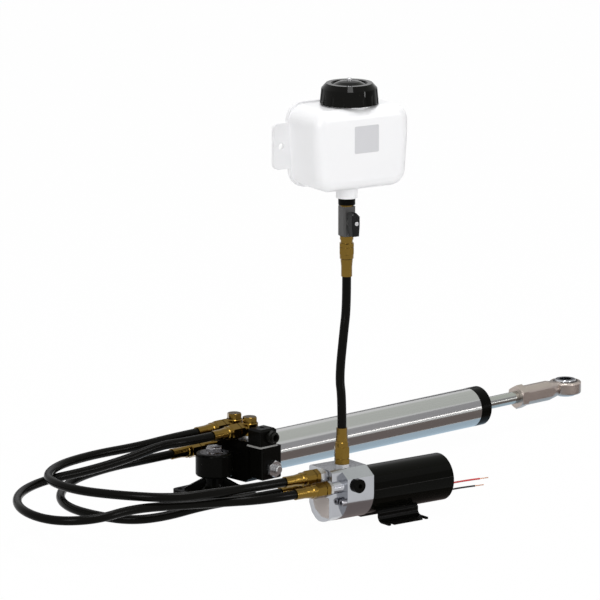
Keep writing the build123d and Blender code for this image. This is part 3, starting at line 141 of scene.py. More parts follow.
class NodeGroups:
    """The shader groups that several finishes share, each built once."""

    def __init__(self) -> None:
        """Starts with no group built."""
        self._built: dict[str, bpy.types.NodeTree] = {}

    def grain(self) -> bpy.types.NodeTree:
        """Noise relief with a roughness that varies with it.

        Returns:
            The group, with a Roughness, a Height and a Mask output.
        """
        if "grain" not in self._built:
            tree = bpy.data.node_groups.new("surface_grain", "ShaderNodeTree")
            face = tree.interface
            face.new_socket("Vector", in_out="INPUT", socket_type="NodeSocketVector")
            face.new_socket("Scale", in_out="INPUT", socket_type="NodeSocketFloat")
            face.new_socket("Base", in_out="INPUT", socket_type="NodeSocketFloat")
            face.new_socket("Spread", in_out="INPUT", socket_type="NodeSocketFloat")
            face.new_socket("Roughness", in_out="OUTPUT", socket_type="NodeSocketFloat")
            face.new_socket("Height", in_out="OUTPUT", socket_type="NodeSocketFloat")
            face.new_socket("Mask", in_out="OUTPUT", socket_type="NodeSocketFloat")
            enter = tree.nodes.new("NodeGroupInput")
            leave = tree.nodes.new("NodeGroupOutput")
            small = tree.nodes.new("ShaderNodeTexNoise")
            small.inputs["Detail"].default_value = 3.0
            broad = tree.nodes.new("ShaderNodeTexNoise")
            broad.inputs["Scale"].default_value = BROAD_SCALE
            broad.inputs["Detail"].default_value = 4.0
            centred = tree.nodes.new("ShaderNodeMath")
            centred.operation = "SUBTRACT"
            centred.inputs[1].default_value = 0.5
            spread = tree.nodes.new("ShaderNodeMath")
            spread.operation = "MULTIPLY_ADD"
            links = tree.links
            links.new(enter.outputs["Vector"], small.inputs["Vector"])
            links.new(enter.outputs["Vector"], broad.inputs["Vector"])
            links.new(enter.outputs["Scale"], small.inputs["Scale"])
            links.new(broad.outputs["Fac"], centred.inputs[0])
            links.new(centred.outputs[0], spread.inputs[0])
            links.new(enter.outputs["Spread"], spread.inputs[1])
            links.new(enter.outputs["Base"], spread.inputs[2])
            links.new(spread.outputs[0], leave.inputs["Roughness"])
            links.new(small.outputs["Fac"], leave.inputs["Height"])
            links.new(broad.outputs["Fac"], leave.inputs["Mask"])
            self._built["grain"] = tree
        return self._built["grain"]

    def polish_lines(self) -> bpy.types.NodeTree:
        """Fine lines along one axis, as drawing or polishing leaves them.

        Returns:
            The group, with a Roughness, a Height and a Mask output.
        """
        if "lines" not in self._built:
            tree = bpy.data.node_groups.new("polish_lines", "ShaderNodeTree")
            face = tree.interface
            face.new_socket("Vector", in_out="INPUT", socket_type="NodeSocketVector")
            face.new_socket("Squash", in_out="INPUT", socket_type="NodeSocketVector")
            face.new_socket("Base", in_out="INPUT", socket_type="NodeSocketFloat")
            face.new_socket("Spread", in_out="INPUT", socket_type="NodeSocketFloat")
            face.new_socket("Roughness", in_out="OUTPUT", socket_type="NodeSocketFloat")
            face.new_socket("Height", in_out="OUTPUT", socket_type="NodeSocketFloat")
            face.new_socket("Mask", in_out="OUTPUT", socket_type="NodeSocketFloat")
            enter = tree.nodes.new("NodeGroupInput")
            leave = tree.nodes.new("NodeGroupOutput")
            stretch = tree.nodes.new("ShaderNodeVectorMath")
            stretch.operation = "MULTIPLY"
            lines = tree.nodes.new("ShaderNodeTexNoise")
            lines.inputs["Scale"].default_value = 1.0
            lines.inputs["Detail"].default_value = 4.0
            spread = tree.nodes.new("ShaderNodeMath")
            spread.operation = "MULTIPLY_ADD"
            links = tree.links
            links.new(enter.outputs["Vector"], stretch.inputs[0])
            links.new(enter.outputs["Squash"], stretch.inputs[1])
            links.new(stretch.outputs[0], lines.inputs["Vector"])
            links.new(lines.outputs["Fac"], spread.inputs[0])
            links.new(enter.outputs["Spread"], spread.inputs[1])
            links.new(enter.outputs["Base"], spread.inputs[2])
            links.new(spread.outputs[0], leave.inputs["Roughness"])
            links.new(lines.outputs["Fac"], leave.inputs["Height"])
            links.new(lines.outputs["Fac"], leave.inputs["Mask"])
            self._built["lines"] = tree
        return self._built["lines"]


GROUPS = NodeGroups()


@dataclass(frozen=True)
class Finish:
    slot: str
    colour: tuple[float, float, float]
    roughness: float
    metallic: float = 0.0
    grain: Grain = Grain.FINE
    polished_along: Axis | None = None
    specular: float = 0.5
    shade_spread: float = 0.08

    def build(self) -> bpy.types.Material:
        """Makes the material in place of the frame's plain one.

        Returns:
            The material, named after the slot.
        """
        plain = bpy.data.materials.get(self.slot)
        if plain is not None:
            plain.name = f"{self.slot}_plain"
        material = bpy.data.materials.new(self.slot)
        material.use_nodes = True
        tree = material.node_tree
        shader = tree.nodes["Principled BSDF"]
        shader.inputs["Metallic"].default_value = self.metallic
        shader.inputs["Specular IOR Level"].default_value = self.specular
        place = tree.nodes.new("ShaderNodeTexCoord")
        surface = tree.nodes.new("ShaderNodeGroup")
        depth = self._polish(surface) if self.polished_along else self._roughen(surface)
        tree.links.new(place.outputs["Object"], surface.inputs["Vector"])
        tree.links.new(surface.outputs["Roughness"], shader.inputs["Roughness"])
        bump = tree.nodes.new("ShaderNodeBump")
        bump.inputs["Strength"].default_value = 1.0
        bump.inputs["Distance"].default_value = depth
        tree.links.new(surface.outputs["Height"], bump.inputs["Height"])
        tree.links.new(bump.outputs["Normal"], shader.inputs["Normal"])
        self._shade(tree, shader, surface)
        return material

    def _shade(self, tree: bpy.types.NodeTree, shader: bpy.types.Node,
               surface: bpy.types.Node) -> None:
        """Lets the colour vary a little, with the surface's mask.

        Args:
            tree: The material's nodes.
            shader: The node that takes the colour.
            surface: The node that gives the mask.
        """
        blend = tree.nodes.new("ShaderNodeMix")
        blend.data_type = "RGBA"
        dark, light = blend.inputs[6], blend.inputs[7]
        dark.default_value = (*(part * (1 - self.shade_spread) for part in self.colour), 1.0)
        light.default_value = (*(part * (1 + self.shade_spread) for part in self.colour), 1.0)
        tree.links.new(surface.outputs["Mask"], blend.inputs[0])
        tree.links.new(blend.outputs[2], shader.inputs["Base Color"])

    def _roughen(self, surface: bpy.types.Node) -> float:
        """Gives the node the finish's grain.

        Args:
            surface: The group node to set.

        Returns:
            The grain's depth in metres.
        """
        relief = RELIEFS[self.grain]
        surface.node_tree = GROUPS.grain()
        surface.inputs["Scale"].default_value = relief.scale
        surface.inputs["Base"].default_value = self.roughness
        surface.inputs["Spread"].default_value = relief.rough_spread
        return relief.depth

    def _polish(self, surface: bpy.types.Node) -> float:
        """Gives the node polishing lines along the finish's axis.

        Args:
            surface: The group node to set.

        Returns:
            The lines' depth in metres.
        """
        surface.node_tree = GROUPS.polish_lines()
        squash = tuple(LINES_ALONG if part else LINES_ACROSS for part in self.polished_along.value)
        surface.inputs["Squash"].default_value = squash
        surface.inputs["Base"].default_value = self.roughness
        surface.inputs["Spread"].default_value = LINE_ROUGH_SPREAD
        return LINE_DEPTH


FINISHES: tuple[Finish, ...] = (
    Finish("black_casting", (0.0022, 0.0022, 0.0018), 0.17, grain=Grain.GLOSS, specular=0.03),
    Finish("ball_steel", (0.27, 0.265, 0.28), 0.2, metallic=1.0, grain=Grain.GLOSS),
    Finish("ring_steel", (0.06, 0.06, 0.068), 0.36, metallic=1.0),
    Finish("tube_metal", (0.46, 0.465, 0.46), 0.1, metallic=1.0, polished_along=Axis.X),
    Finish("black_anodised", (0.0022, 0.0022, 0.0017), 0.2, grain=Grain.GLOSS, specular=0.035),
    Finish("seal_rubber", (0.01, 0.01, 0.01), 0.5, specular=0.2),
    Finish("machined_steel", (0.38, 0.38, 0.39), 0.3, metallic=1.0),
    Finish("rod_chrome", (0.42, 0.43, 0.41), 0.08, metallic=1.0, polished_along=Axis.X),
    Finish("rod_end_steel", (0.44, 0.385, 0.35), 0.34, metallic=1.0, grain=Grain.GLOSS),
    Finish("eye_chrome", (0.5, 0.51, 0.53), 0.1, metallic=1.0, grain=Grain.GLOSS),
    Finish("zinc_steel", (0.5, 0.5, 0.51), 0.24, metallic=1.0),
    Finish("black_plastic", (0.0025, 0.0025, 0.002), 0.24, grain=Grain.MOULDED, specular=0.05),
    Finish("grey_rubber", (0.3, 0.3, 0.29), 0.5, specular=0.2),
    Finish("fitting_brass", (0.17, 0.104, 0.021), 0.17, metallic=1.0, grain=Grain.GLOSS),
    Finish("adapter_steel", (0.45, 0.45, 0.46), 0.25, metallic=1.0),
    Finish("pump_aluminium", (0.42, 0.43, 0.455), 0.15, metallic=1.0, grain=Grain.FINE),
    Finish("core_steel", (0.3, 0.3, 0.31), 0.4, metallic=1.0),
    Finish("motor_paint", (0.0022, 0.0022, 0.0016), 0.06, grain=Grain.GLOSS, specular=0.045),
    Finish("magnet_ferrite", (0.07, 0.07, 0.07), 0.6),
    Finish("card_plastic", (0.25, 0.12, 0.06), 0.5),
    Finish("saddle_paint", (0.0025, 0.0025, 0.002), 0.2, specular=0.08),
    Finish("red_insulation", (0.5, 0.012, 0.015), 0.35, grain=Grain.GLOSS),
    Finish("black_insulation", (0.008, 0.008, 0.008), 0.35, grain=Grain.GLOSS, specular=0.3),
    Finish("lead_copper", (0.6, 0.3, 0.17), 0.3, metallic=1.0),
    Finish("tank_plastic", (0.88, 0.88, 0.89), 0.3, grain=Grain.MOULDED, shade_spread=0.01),
    Finish("cap_plastic", (0.0022, 0.0022, 0.0016), 0.06, grain=Grain.GLOSS, specular=0.09),
    Finish("tap_metal", (0.066, 0.065, 0.064), 0.42, specular=0.25),
    Finish("lever_plastic", (0.0035, 0.0035, 0.0035), 0.25, grain=Grain.GLOSS, specular=0.15),
    Finish("hose_rubber", (0.003, 0.0028, 0.0022), 0.22, grain=Grain.MOULDED, specular=0.05),
    Finish("label_film", (0.62, 0.62, 0.64), 0.35, specular=0.3, shade_spread=0.01),
    Finish("plate_film", (0.5, 0.45, 0.43), 0.35, specular=0.3, shade_spread=0.02),
    Finish("gland_grey", (0.008, 0.008, 0.007), 0.22, specular=0.12),
)


class Bench:
    """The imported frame, and the small jobs that every piece needs."""

    def __init__(self) -> None:
        """Loads the frame and gives every CAD node its finish."""
        self.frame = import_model()
        self.size_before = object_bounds()
        self.finishes = {finish.slot: finish.build() for finish in FINISHES}
        rows = self.frame["record"]["subparts"]
        self.slots = {row["material_slot"] for row in rows}
        for row in rows:
            self.paint(self.frame["nodes"][row["node"]], row["material_slot"])

    def paint(self, obj: bpy.types.Object, slot: str) -> None:
        """Gives an object one of the finishes.

        Args:
            obj: The object to paint.
            slot: The finish's slot.
        """
        obj.data.materials.clear()
        obj.data.materials.append(self.finishes[slot])

    def keep(self, obj: bpy.types.Object, slot: str, body: str, *nodes: str) -> bpy.types.Object:
        """Paints a finished piece, lets it ride on a body and stand for CAD nodes.

        Args:
            obj: The finished piece.
            slot: Its finish's slot.
            body: The CAD body it moves with.
            nodes: The CAD nodes that it stands for.

        Returns:
            The same piece.
        """
        self.paint(obj, slot)
        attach(obj, body)
        if nodes:
            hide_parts(*nodes)
        LOG.info("%s on %s", obj.name, body)
        return obj


def add_object(name: str, mesh: bmesh.types.BMesh, smooth_below: float = 35.0) -> bpy.types.Object:
    """Turns a bmesh into an object with smooth faces and sharp edges.

    Args:
        name: The object's name.
        mesh: The bmesh, which is freed.
        smooth_below: Edges that turn less than this many degrees look smooth.

    Returns:
        The object, at the origin.
    """
    bmesh.ops.recalc_face_normals(mesh, faces=mesh.faces)
    for face in mesh.faces:
        face.smooth = True
    for edge in mesh.edges:
        edge.smooth = edge.calc_face_angle(0.0) < math.radians(smooth_below)
    data = bpy.data.meshes.new(name)
    mesh.to_mesh(data)
    mesh.free()
    obj = bpy.data.objects.new(name, data)
    bpy.context.scene.collection.objects.link(obj)
    return obj


def smooth_route(name: str, route: tuple[Point, ...], resolution: int) -> bpy.types.Curve:
    """Draws a smooth line through a route's control points.

    Args:
        name: The curve's name.
        route: The control points.
        resolution: How finely the line is divided between them.

    Returns:
        The curve, with no thickness yet.
    """
    curve = bpy.data.curves.new(name, "CURVE")
    curve.dimensions = "3D"
    spline = curve.splines.new("NURBS")
    spline.points.add(len(route) - 1)
    for point, place in zip(spline.points, route):
        point.co = (*place, 1.0)
    spline.order_u = 3
    spline.use_endpoint_u = True
    spline.resolution_u = resolution
    return curve


@dataclass
class Hose:
    """One hose: a tube that follows a smooth line through its route's control points."""

    name: str
    route: tuple[Point, ...]
    length: float
    radius: float = 0.0055
    crosses_swing: bool = True
    ring_count: int = 20
    resolution: int = 16
    base_side: Point = (-0.132, -0.171, 0.0)
    ram_side: Point = (-0.062, -0.016, 0.0)

    def path(self) -> list[Vector]:
        """Reads points from the route's smooth line.

        Returns:
            The points, in the route's order.
        """
        curve = smooth_route(f"{self.name}_line", self.route, self.resolution)
        mesh = bpy.data.meshes.new_from_object(bpy.data.objects.new(curve.name, curve))
        return [vertex.co.copy() for vertex in mesh.vertices]

    def build(self, bench: Bench) -> bpy.types.Object:
        """Args:
            bench: The frame and its finishes.

        Returns:
            The hose.
        """
        path = self.path()
        mesh = bmesh.new()
        tangent = (path[1] - path[0]).normalized()
        turn = tangent.to_track_quat("Z", "Y").to_matrix().to_4x4()
        bmesh.ops.create_circle(mesh, cap_ends=False, segments=self.ring_count, radius=self.radius,
                                matrix=Matrix.Translation(path[0]) @ turn)
        ring = list(mesh.edges)
        bmesh.ops.contextual_create(mesh, geom=ring)
        for k in range(1, len(path)):
            onward = path[min(k + 1, len(path) - 1)] - path[k - 1]
            swing = tangent.rotation_difference(onward.normalized()).to_matrix().to_4x4()
            made = bmesh.ops.extrude_edge_only(mesh, edges=ring)["geom"]
            verts = [item for item in made if isinstance(item, bmesh.types.BMVert)]
            ring = [item for item in made if isinstance(item, bmesh.types.BMEdge)]
            place = Matrix.Translation(path[k]) @ swing @ Matrix.Translation(-path[k - 1])
            bmesh.ops.transform(mesh, matrix=place, verts=verts)
            tangent = onward.normalized()
        bmesh.ops.contextual_create(mesh, geom=ring)
        piece = add_object(self.name, mesh)
        piece.name = f"{self.name}_cover"
        if self.crosses_swing:
            bench.paint(piece, "hose_rubber")
            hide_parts(self.name)
            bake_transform(piece)
        else:
            bench.keep(piece, "hose_rubber", "base", self.name)
        return piece


HOSES: tuple[Hose, ...] = (
    Hose("upper_hose", length=0.615, route=(
        (-0.017, 0.014, 0.078), (-0.059, 0.014, 0.078), (-0.112, 0.017, 0.075),
        (-0.173, 0.029, 0.073), (-0.236, 0.025, 0.0705), (-0.286, -0.01, 0.069),
        (-0.296, -0.072, 0.0675), (-0.272, -0.134, 0.0675), (-0.231, -0.183, 0.066),
        (-0.18, -0.203, 0.068), (-0.1292, -0.2163, 0.0687), (-0.0875, -0.221, 0.0687))),
    Hose("front_hose", length=0.740, route=(
        (-0.017, -0.014, 0.078), (-0.059, -0.014, 0.078), (-0.095, -0.005, 0.0775),
        (-0.142, 0.001, 0.0675), (-0.2, 0.01, 0.06), (-0.264, 0.02, 0.057), (-0.324, -0.002, 0.054),
        (-0.364, -0.054, 0.051), (-0.362, -0.108, 0.0465), (-0.326, -0.148, 0.049),
        (-0.272, -0.153, 0.0545), (-0.219, -0.17, 0.053), (-0.172, -0.202, 0.0545),
        (-0.1275, -0.2326, 0.056), (-0.0858, -0.2373, 0.056))),
    Hose("rear_hose", length=0.551, route=(
        (-0.038, 0.037, 0.05), (-0.08, 0.037, 0.05), (-0.136, 0.046, 0.0475),
        (-0.198, 0.042, 0.043), (-0.248, 0.009, 0.0375), (-0.272, -0.037, 0.035),
        (-0.269, -0.086, 0.0335), (-0.25, -0.126, 0.0315), (-0.215, -0.15, 0.035),
        (-0.17, -0.169, 0.0445), (-0.1222, -0.201, 0.0517), (-0.0805, -0.2057, 0.0517))),
    Hose("supply_hose", length=0.185, crosses_swing=False, route=(
        (0.0098, -0.226, 0.3083), (0.0098, -0.226, 0.2703), (0.0037, -0.2278, 0.2423),
        (-0.0037, -0.2276, 0.1855), (-0.0048, -0.2335, 0.163), (-0.0048, -0.2335, 0.125))),
)


@dataclass
class Lead:
    """The insulated length of one motor lead."""

    name: str
    slot: str
    route: tuple[Point, ...]
    length: float
    radius: float = 0.0011
    resolution: int = 12

    def build(self, bench: Bench) -> bpy.types.Object:
        """Args:
            bench: The frame and its finishes.

        Returns:
            The lead.
        """
        curve = smooth_route(self.name, self.route, self.resolution)
        curve.bevel_depth = self.radius
        curve.bevel_resolution = 4
        curve.use_fill_caps = True
        lead = bpy.data.objects.new(f"{self.name}_sleeve", curve)
        bpy.context.scene.collection.objects.link(lead)
        bench.keep(lead, self.slot, "base", self.name)
        return lead


LEADS: tuple[Lead, ...] = (
    Lead("red_lead", "red_insulation", length=0.054, route=(
        (0.15299, -0.24842, 0.031), (0.17176, -0.25066, 0.0311), (0.19051, -0.253, 0.0309),
        (0.20654, -0.25543, 0.0305))),
    Lead("black_lead", "black_insulation", length=0.047, route=(
        (0.15299, -0.24842, 0.023), (0.16932, -0.25038, 0.0231), (0.18564, -0.25244, 0.0229),
        (0.19958, -0.25463, 0.0225))),
)


@dataclass
class BlankPlate:
    """A thin plate with no print, stuck on a flat face."""

    name: str
    slot: str
    place: Matrix
    width: float
    height: float
    trims: tuple[tuple[Point, Point], ...] = ()
    thickness: float = 0.00018
    sunk: float = 0.00003
    corner: float = 0.0015

    def build(self, bench: Bench) -> bpy.types.Object:
        """Cuts the plate's outline, gives it its thickness and sticks it on.

        Args:
            bench: The frame and its finishes.

        Returns:
            The plate.
        """
        mesh = bmesh.new()
        bmesh.ops.create_grid(mesh, x_segments=1, y_segments=1, size=0.5)
        bmesh.ops.scale(mesh, verts=mesh.verts, vec=(self.width, self.height, 1.0))
        for point, outward in self.trims:
            geometry = list(mesh.verts) + list(mesh.edges) + list(mesh.faces)
            bmesh.ops.bisect_plane(mesh, geom=geometry, plane_co=point, plane_no=outward,
                                   clear_outer=True)
        bmesh.ops.bevel(mesh, geom=list(mesh.verts), offset=self.corner, affect="VERTICES",
                        segments=3, profile=0.5, material=-1)
        bmesh.ops.translate(mesh, verts=mesh.verts, vec=(0, 0, -self.sunk))
        lifted = bmesh.ops.extrude_face_region(mesh, geom=list(mesh.faces),
                                               use_keep_orig=True)["geom"]
        verts = [item for item in lifted if isinstance(item, bmesh.types.BMVert)]
        bmesh.ops.translate(mesh, verts=verts, vec=(0, 0, self.thickness))
        bmesh.ops.transform(mesh, verts=mesh.verts, matrix=self.place)
        return bench.keep(add_object(self.name, mesh), self.slot, "base")


def upright(place: Point, turn: float) -> Matrix:
    """A place in the frame, turned about the vertical.

    Args:
        place: Where it is.
        turn: How far it is turned, in degrees.

    Returns:
        The transform.
    """
    return Matrix.Translation(place) @ Matrix.Rotation(math.radians(turn), 4, "Z")


TANK_PLACE = upright((0.013, -0.2267, 0.419), -12.0)
PUMP_PLACE = upright((-0.017, -0.221, 0.04), -6.5)
FACING_FRONT = Matrix.Rotation(math.radians(90.0), 4, "X")
FACING_LEFT = Matrix.Rotation(math.radians(-90.0), 4, "Z") @ FACING_FRONT

PLATES: tuple[BlankPlate, ...] = (
    BlankPlate(
        "tank_label", "label_film", width=0.0335, height=0.033,
        place=TANK_PLACE @ Matrix.Translation((0.0033, -0.035, 0.0617)) @ FACING_FRONT),
    BlankPlate(
        "pump_plate", "plate_film", width=0.036, height=0.0256,
        place=PUMP_PLACE @ Matrix.Translation((-0.011, 0.0, -0.0107)) @ FACING_LEFT,
        trims=(((0.003, -0.0126, 0.0), (-0.53, -0.85, 0.0)),
               ((-0.010, -0.0045, 0.0), (-0.93, -0.37, 0.0)))),
)


@dataclass
class StudHead:
    """Hexagon head over the ball's stud, inside the socket ring's opening."""

    across_flats: float = 0.0188
    bottom: float = 0.0534
    top: float = 0.0602
    turn: float = 8.0
    edge: float = 0.0009

    def build(self, bench: Bench) -> bpy.types.Object:
        """Builds the head with its top corners rounded.

        Args:
            bench: The frame and its finishes.

        Returns:
            The head.
        """
        corner = self.across_flats / math.sqrt(3.0)
        height = self.top - self.bottom
        mesh = bmesh.new()
        place = upright((0, 0, self.bottom + height / 2), self.turn)
        bmesh.ops.create_cone(mesh, cap_ends=True, segments=6, radius1=corner, radius2=corner,
                              depth=height, matrix=place)
        lowest = self.top - self.edge
        rim = [edge for edge in mesh.edges if min(vert.co.z for vert in edge.verts) > lowest]
        bmesh.ops.bevel(mesh, geom=rim, offset=self.edge, affect="EDGES", segments=3,
                        profile=0.5, material=-1)
        return bench.keep(add_object("stud_head", mesh), "ball_steel", "base")


@dataclass
class EyeRings:
    """Shoulders of the rod end's ball, and thin black rings of painted shade in the gap round them,
    on both sides.
    """

    middle: Point = (0.612, 0.0, 0.04)
    bore: float = 0.0081
    shoulder: float = 0.0136
    shoulder_low: float = 0.0083
    shoulder_high: float = 0.0105
    shade_ring_outer: float = 0.0158
    shade_ring_low: float = 0.0078
    shade_ring_high: float = 0.00815
    steps: int = 64

    def _ring(self, mesh: bmesh.types.BMesh, profile: Profile, side: int) -> None:
        """Turns a closed profile round the ball's axis.

        Args:
            mesh: The mesh that takes the ring.
            profile: The profile's radii and heights.
            side: 1 for the upper side of the eye, -1 for the lower.
        """
        verts = [mesh.verts.new((radius, 0.0, side * height)) for radius, height in profile]
        edges = [mesh.edges.new(pair) for pair in zip(verts, verts[1:] + verts[:1])]
        bmesh.ops.spin(mesh, geom=verts + edges, axis=(0, 0, 1), cent=(0, 0, 0),
                       angle=math.tau, steps=self.steps, use_merge=True)

    def _both(self, name: str, slot: str, body: str, bench: Bench, profile: Profile) -> None:
        """Makes a pair of rings, one on each side of the eye.

        Args:
            name: The pair's name.
            slot: Its finish's slot.
            body: The CAD body it moves with.
            bench: The frame and its finishes.
            profile: The profile's radii and heights.
        """
        mesh = bmesh.new()
        for side in (1, -1):
            self._ring(mesh, profile, side)
        bmesh.ops.remove_doubles(mesh, verts=mesh.verts, dist=0.000001)
        bmesh.ops.translate(mesh, verts=mesh.verts, vec=self.middle)
        bench.keep(add_object(name, mesh), slot, body)

    def build(self, bench: Bench) -> None:
        """Builds the shoulders, which turn with the ball, and the painted-shade rings in the gap,
        which stay on the eye.

        Args:
            bench: The frame and its finishes.
        """
        low, high = self.shoulder_low, self.shoulder_high
        self._both("ball_shoulders", "eye_chrome", "eye", bench, (
            (self.bore, low), (self.shoulder - 0.0002, low), (self.shoulder, low + 0.0006),
            (self.shoulder - 0.0003, high - 0.0006), (self.shoulder - 0.0009, high),
            (self.bore + 0.0006, high), (self.bore, high - 0.0005)))
        # thin black rings laid in the gap between ball and race, in the seal_rubber finish: painted
        # shade of that gap
        self._both("gap_shade_rings", "seal_rubber", "rod", bench, (
            (self.shoulder + 0.0004, self.shade_ring_low), (self.shade_ring_outer, self.shade_ring_low),
            (self.shade_ring_outer, self.shade_ring_high - 0.0001), (self.shade_ring_outer - 0.0002, self.shade_ring_high),
            (self.shoulder + 0.0006, self.shade_ring_high),
            (self.shoulder + 0.0004, self.shade_ring_high - 0.0002)))


@dataclass
class Studio:
    """White floor and backdrop, soft lamps, and the camera at the photograph's angle.

    Lengths are in metres, angles in degrees and places on the picture in its pixels.
    """

    ball: Point = (0.0, 0.0, 0.04)
    ball_pixel: tuple[float, float] = (214.5, 462.3)
    image_side: float = 600.0
    azimuth: float = 43.0
    elevation: float = 12.2
    distance: float = 8.5
    pixels_per_metre: float = 812.0
    sensor: float = 36.0
    floor_side: float = 14.0
    floor_share: float = 0.985
    floor_drop: float = 0.0002
    mat_drop: float = 0.0001
    floor_tone: float = 0.9
    air_strength: float = 0.55
    farthest: float = 100.0
    card_target: Point = (0.15, -0.1, 0.1)

    def camera(self) -> bpy.types.Object:
        """Places the camera so that the ball of the foot falls on its pixel.

        Returns:
            The scene's camera.
        """
        turn, rise = math.radians(self.azimuth), math.radians(self.elevation)
        right = Vector((math.cos(turn), -math.sin(turn), 0.0))
        ahead = Vector((math.sin(turn), math.cos(turn), 0.0))
        forward = ahead * math.cos(rise) - Vector((0.0, 0.0, math.sin(rise)))
        up = right.cross(forward)
        focal = self.pixels_per_metre * self.distance
        half = self.image_side / 2
        across, down = ((pixel - half) / focal for pixel in self.ball_pixel)
        ray = forward + right * across - up * down
        data = bpy.data.cameras.new("photo_camera")
        data.sensor_width = self.sensor
        data.lens = focal / self.image_side * self.sensor
        data.clip_end = self.farthest
        camera = bpy.data.objects.new("photo_camera", data)
        basis = Matrix((right, up, -forward)).transposed().to_4x4()
        camera.matrix_world = Matrix.Translation(Vector(self.ball) - ray * self.distance) @ basis
        bpy.context.scene.collection.objects.link(camera)
        bpy.context.scene.camera = camera
        return camera

    def backdrop(self) -> None:
        """A floor that looks white to the camera and keeps a faint shadow, under a white world."""
        mesh = bmesh.new()
        bmesh.ops.create_grid(mesh, x_segments=1, y_segments=1, size=self.floor_side / 2)
        bmesh.ops.translate(mesh, verts=mesh.verts, vec=(0, 0, -self.floor_drop))
        floor = add_object("studio_floor", mesh)
        material = bpy.data.materials.new("floor_white")
        material.use_nodes = True
        tree = material.node_tree
        tree.nodes.clear()
        out = tree.nodes.new("ShaderNodeOutputMaterial")
        mix = tree.nodes.new("ShaderNodeMixShader")
        glow = tree.nodes.new("ShaderNodeEmission")
        matte = tree.nodes.new("ShaderNodeBsdfDiffuse")
        matte.inputs["Color"].default_value = (*(self.floor_tone,) * 3, 1.0)
        share = tree.nodes.new("ShaderNodeMath")
        share.operation = "MULTIPLY"
        share.inputs[1].default_value = self.floor_share
        tree.links.new(self._sight(tree), share.inputs[0])
        tree.links.new(share.outputs[0], mix.inputs[0])
        tree.links.new(matte.outputs[0], mix.inputs[1])
        tree.links.new(glow.outputs[0], mix.inputs[2])
        tree.links.new(mix.outputs[0], out.inputs["Surface"])
        floor.data.materials.append(material)
        floor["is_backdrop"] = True
        self._world()

    def _sight(self, tree: bpy.types.NodeTree) -> bpy.types.NodeSocket:
        """Adds nodes that tell direct, mirrored and refracted sight from diffuse light.

        Args:
            tree: The tree that takes the nodes.

        Returns:
            A socket that is 1 in sight and 0 for diffuse light.
        """
        rays = tree.nodes.new("ShaderNodeLightPath")
        sight = rays.outputs["Is Camera Ray"]
        for kind in ("Is Glossy Ray", "Is Transmission Ray"):
            either = tree.nodes.new("ShaderNodeMath")
            either.operation = "MAXIMUM"
            tree.links.new(sight, either.inputs[0])
            tree.links.new(rays.outputs[kind], either.inputs[1])
            sight = either.outputs[0]
        return sight

    def _world(self) -> None:
        """White to the camera, and a soft even light to the object."""
        world = bpy.data.worlds.new("studio_air")
        bpy.context.scene.world = world
        world.use_nodes = True
        tree = world.node_tree
        tree.nodes.clear()
        out = tree.nodes.new("ShaderNodeOutputWorld")
        mix = tree.nodes.new("ShaderNodeMixShader")
        air = tree.nodes.new("ShaderNodeBackground")
        air.inputs["Strength"].default_value = self.air_strength
        sight = tree.nodes.new("ShaderNodeBackground")
        sight.inputs["Color"].default_value = (1.0, 1.0, 1.0, 1.0)
        tree.links.new(self._sight(tree), mix.inputs[0])
        tree.links.new(air.outputs[0], mix.inputs[1])
        tree.links.new(sight.outputs[0], mix.inputs[2])
        tree.links.new(mix.outputs[0], out.inputs["Surface"])

    def softbox(self, name: str, place: Point, target: Point, width: float, height: float,
                power: float) -> None:
        """Adds a rectangular lamp that looks at a point.

        Args:
            name: The lamp's name.
            place: Where it stands.
            target: What it looks at.
            width: Its width.
            height: Its height.
            power: Its power in watts.
        """
        data = bpy.data.lights.new(name, "AREA")
        data.shape = "RECTANGLE"
        data.size = width
        data.size_y = height
        data.energy = power
        lamp = bpy.data.objects.new(name, data)
        aim = (Vector(target) - Vector(place)).to_track_quat("-Z", "Y").to_matrix().to_4x4()
        lamp.matrix_world = Matrix.Translation(place) @ aim
        bpy.context.scene.collection.objects.link(lamp)

    def light(self) -> None:
        """Sets the lamps: a broad one overhead and one at each side of the camera."""
        middle = (0.1, -0.1, 0.2)
        self.softbox("overhead_lamp", (0.2, -0.2, 2.4), middle, 1.5, 0.5, 24.0)
        self.softbox("left_lamp", (-2.2, -1.2, 1.3), middle, 0.5, 1.2, 22.0)
        self.softbox("right_lamp", (1.0, -2.6, 0.9), middle, 0.22, 1.1, 14.0)

    def card(self, name: str, place: Point, width: float, height: float, tone: Point) -> None:
        """Adds a plain panel that only reflections see, to draw bands on polished metal.

        Args:
            name: The panel's name.
            place: Its middle. It faces the ram.
            width: Its width.
            height: Its height.
            tone: Its colour as a reflection shows it.
        """
        away = Vector(place) - Vector(self.card_target)
        aim = away.to_track_quat("Z", "Y").to_matrix().to_4x4()
        self._panel(name, Matrix.Translation(place) @ aim, width, height, tone)

    def mat(self, name: str, middle: tuple[float, float], width: float, depth: float,
            tone: Point) -> None:
        """Lays a plain panel on the floor, which only reflections see.

        Args:
            name: The panel's name.
            middle: Its middle on the floor.
            width: Its width along the ram.
            depth: Its width across it.
            tone: Its colour as a reflection shows it.
        """
        self._panel(name, Matrix.Translation((*middle, -self.mat_drop)), width, depth, tone)

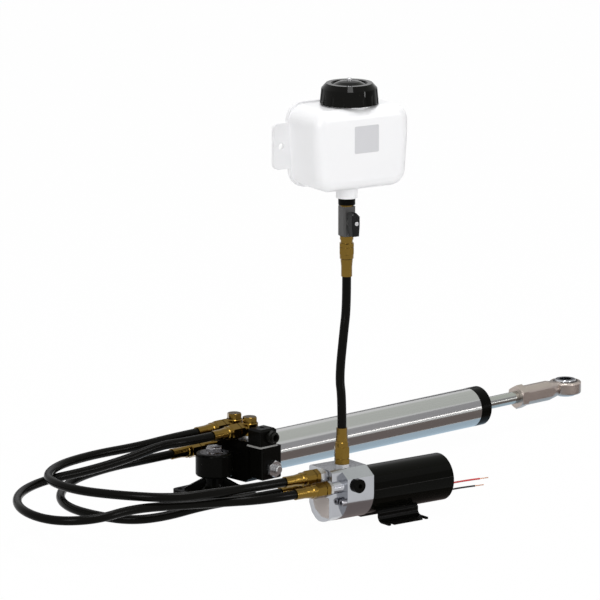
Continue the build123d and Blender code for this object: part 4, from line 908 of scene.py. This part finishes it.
    def _panel(self, name: str, place: Matrix, width: float, height: float,
               tone: Point) -> None:
        """Makes a panel of one tone that the camera and the matt surfaces don't see.

        Args:
            name: The panel's name.
            place: Its place in the frame.
            width: Its width.
            height: Its height.
            tone: Its colour as a reflection shows it.
        """
        mesh = bmesh.new()
        bmesh.ops.create_grid(mesh, x_segments=1, y_segments=1, size=0.5)
        bmesh.ops.scale(mesh, verts=mesh.verts, vec=(width, height, 1.0))
        bmesh.ops.transform(mesh, verts=mesh.verts, matrix=place)
        panel = add_object(name, mesh)
        material = bpy.data.materials.new(f"{name}_tone")
        material.use_nodes = True
        tree = material.node_tree
        tree.nodes.clear()
        out = tree.nodes.new("ShaderNodeOutputMaterial")
        glow = tree.nodes.new("ShaderNodeEmission")
        glow.inputs["Color"].default_value = (*tone, 1.0)
        tree.links.new(glow.outputs[0], out.inputs["Surface"])
        panel.data.materials.append(material)
        panel.visible_camera = False
        panel.visible_diffuse = False
        panel.visible_shadow = False
        panel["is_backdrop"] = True

    def cards(self) -> None:
        """Sets the panels: three at the ram's right, one behind it and two on the floor."""
        self.card("upper_card", (1.65, -0.05, 1.75), 2.2, 1.4, (0.8, 0.82, 0.78))
        self.card("lower_card", (1.95, -1.75, 0.78), 3.2, 1.15, (0.52, 0.51, 0.53))
        self.card("edge_strip", (1.95, -1.75, 0.17), 3.2, 0.05, (7.0, 6.7, 6.6))
        self.card("back_card", (0.97, 0.83, 0.29), 2.6, 0.34, (0.2, 0.2, 0.21))
        self.mat("warm_card", (0.6, -0.17), 1.2, 0.26, (0.25, 0.21, 0.2))
        self.mat("cool_card", (0.38, -0.008), 0.9, 0.06, (0.6, 0.76, 0.9))


def main() -> None:
    logging.basicConfig(level=logging.INFO, format="%(name)s: %(message)s")
    bpy.context.scene.view_settings.view_transform = "Standard"
    bench = Bench()
    for hose in HOSES:
        hose.build(bench)
    for lead in LEADS:
        lead.build(bench)
    for plate in PLATES:
        plate.build(bench)
    StudHead().build(bench)
    EyeRings().build(bench)
    bench.paint(bench.frame["nodes"]["cable_nut"], "gland_grey")
    studio = Studio()
    studio.backdrop()
    studio.light()
    studio.cards()
    studio.camera()


if __name__ == "__main__":
    main()
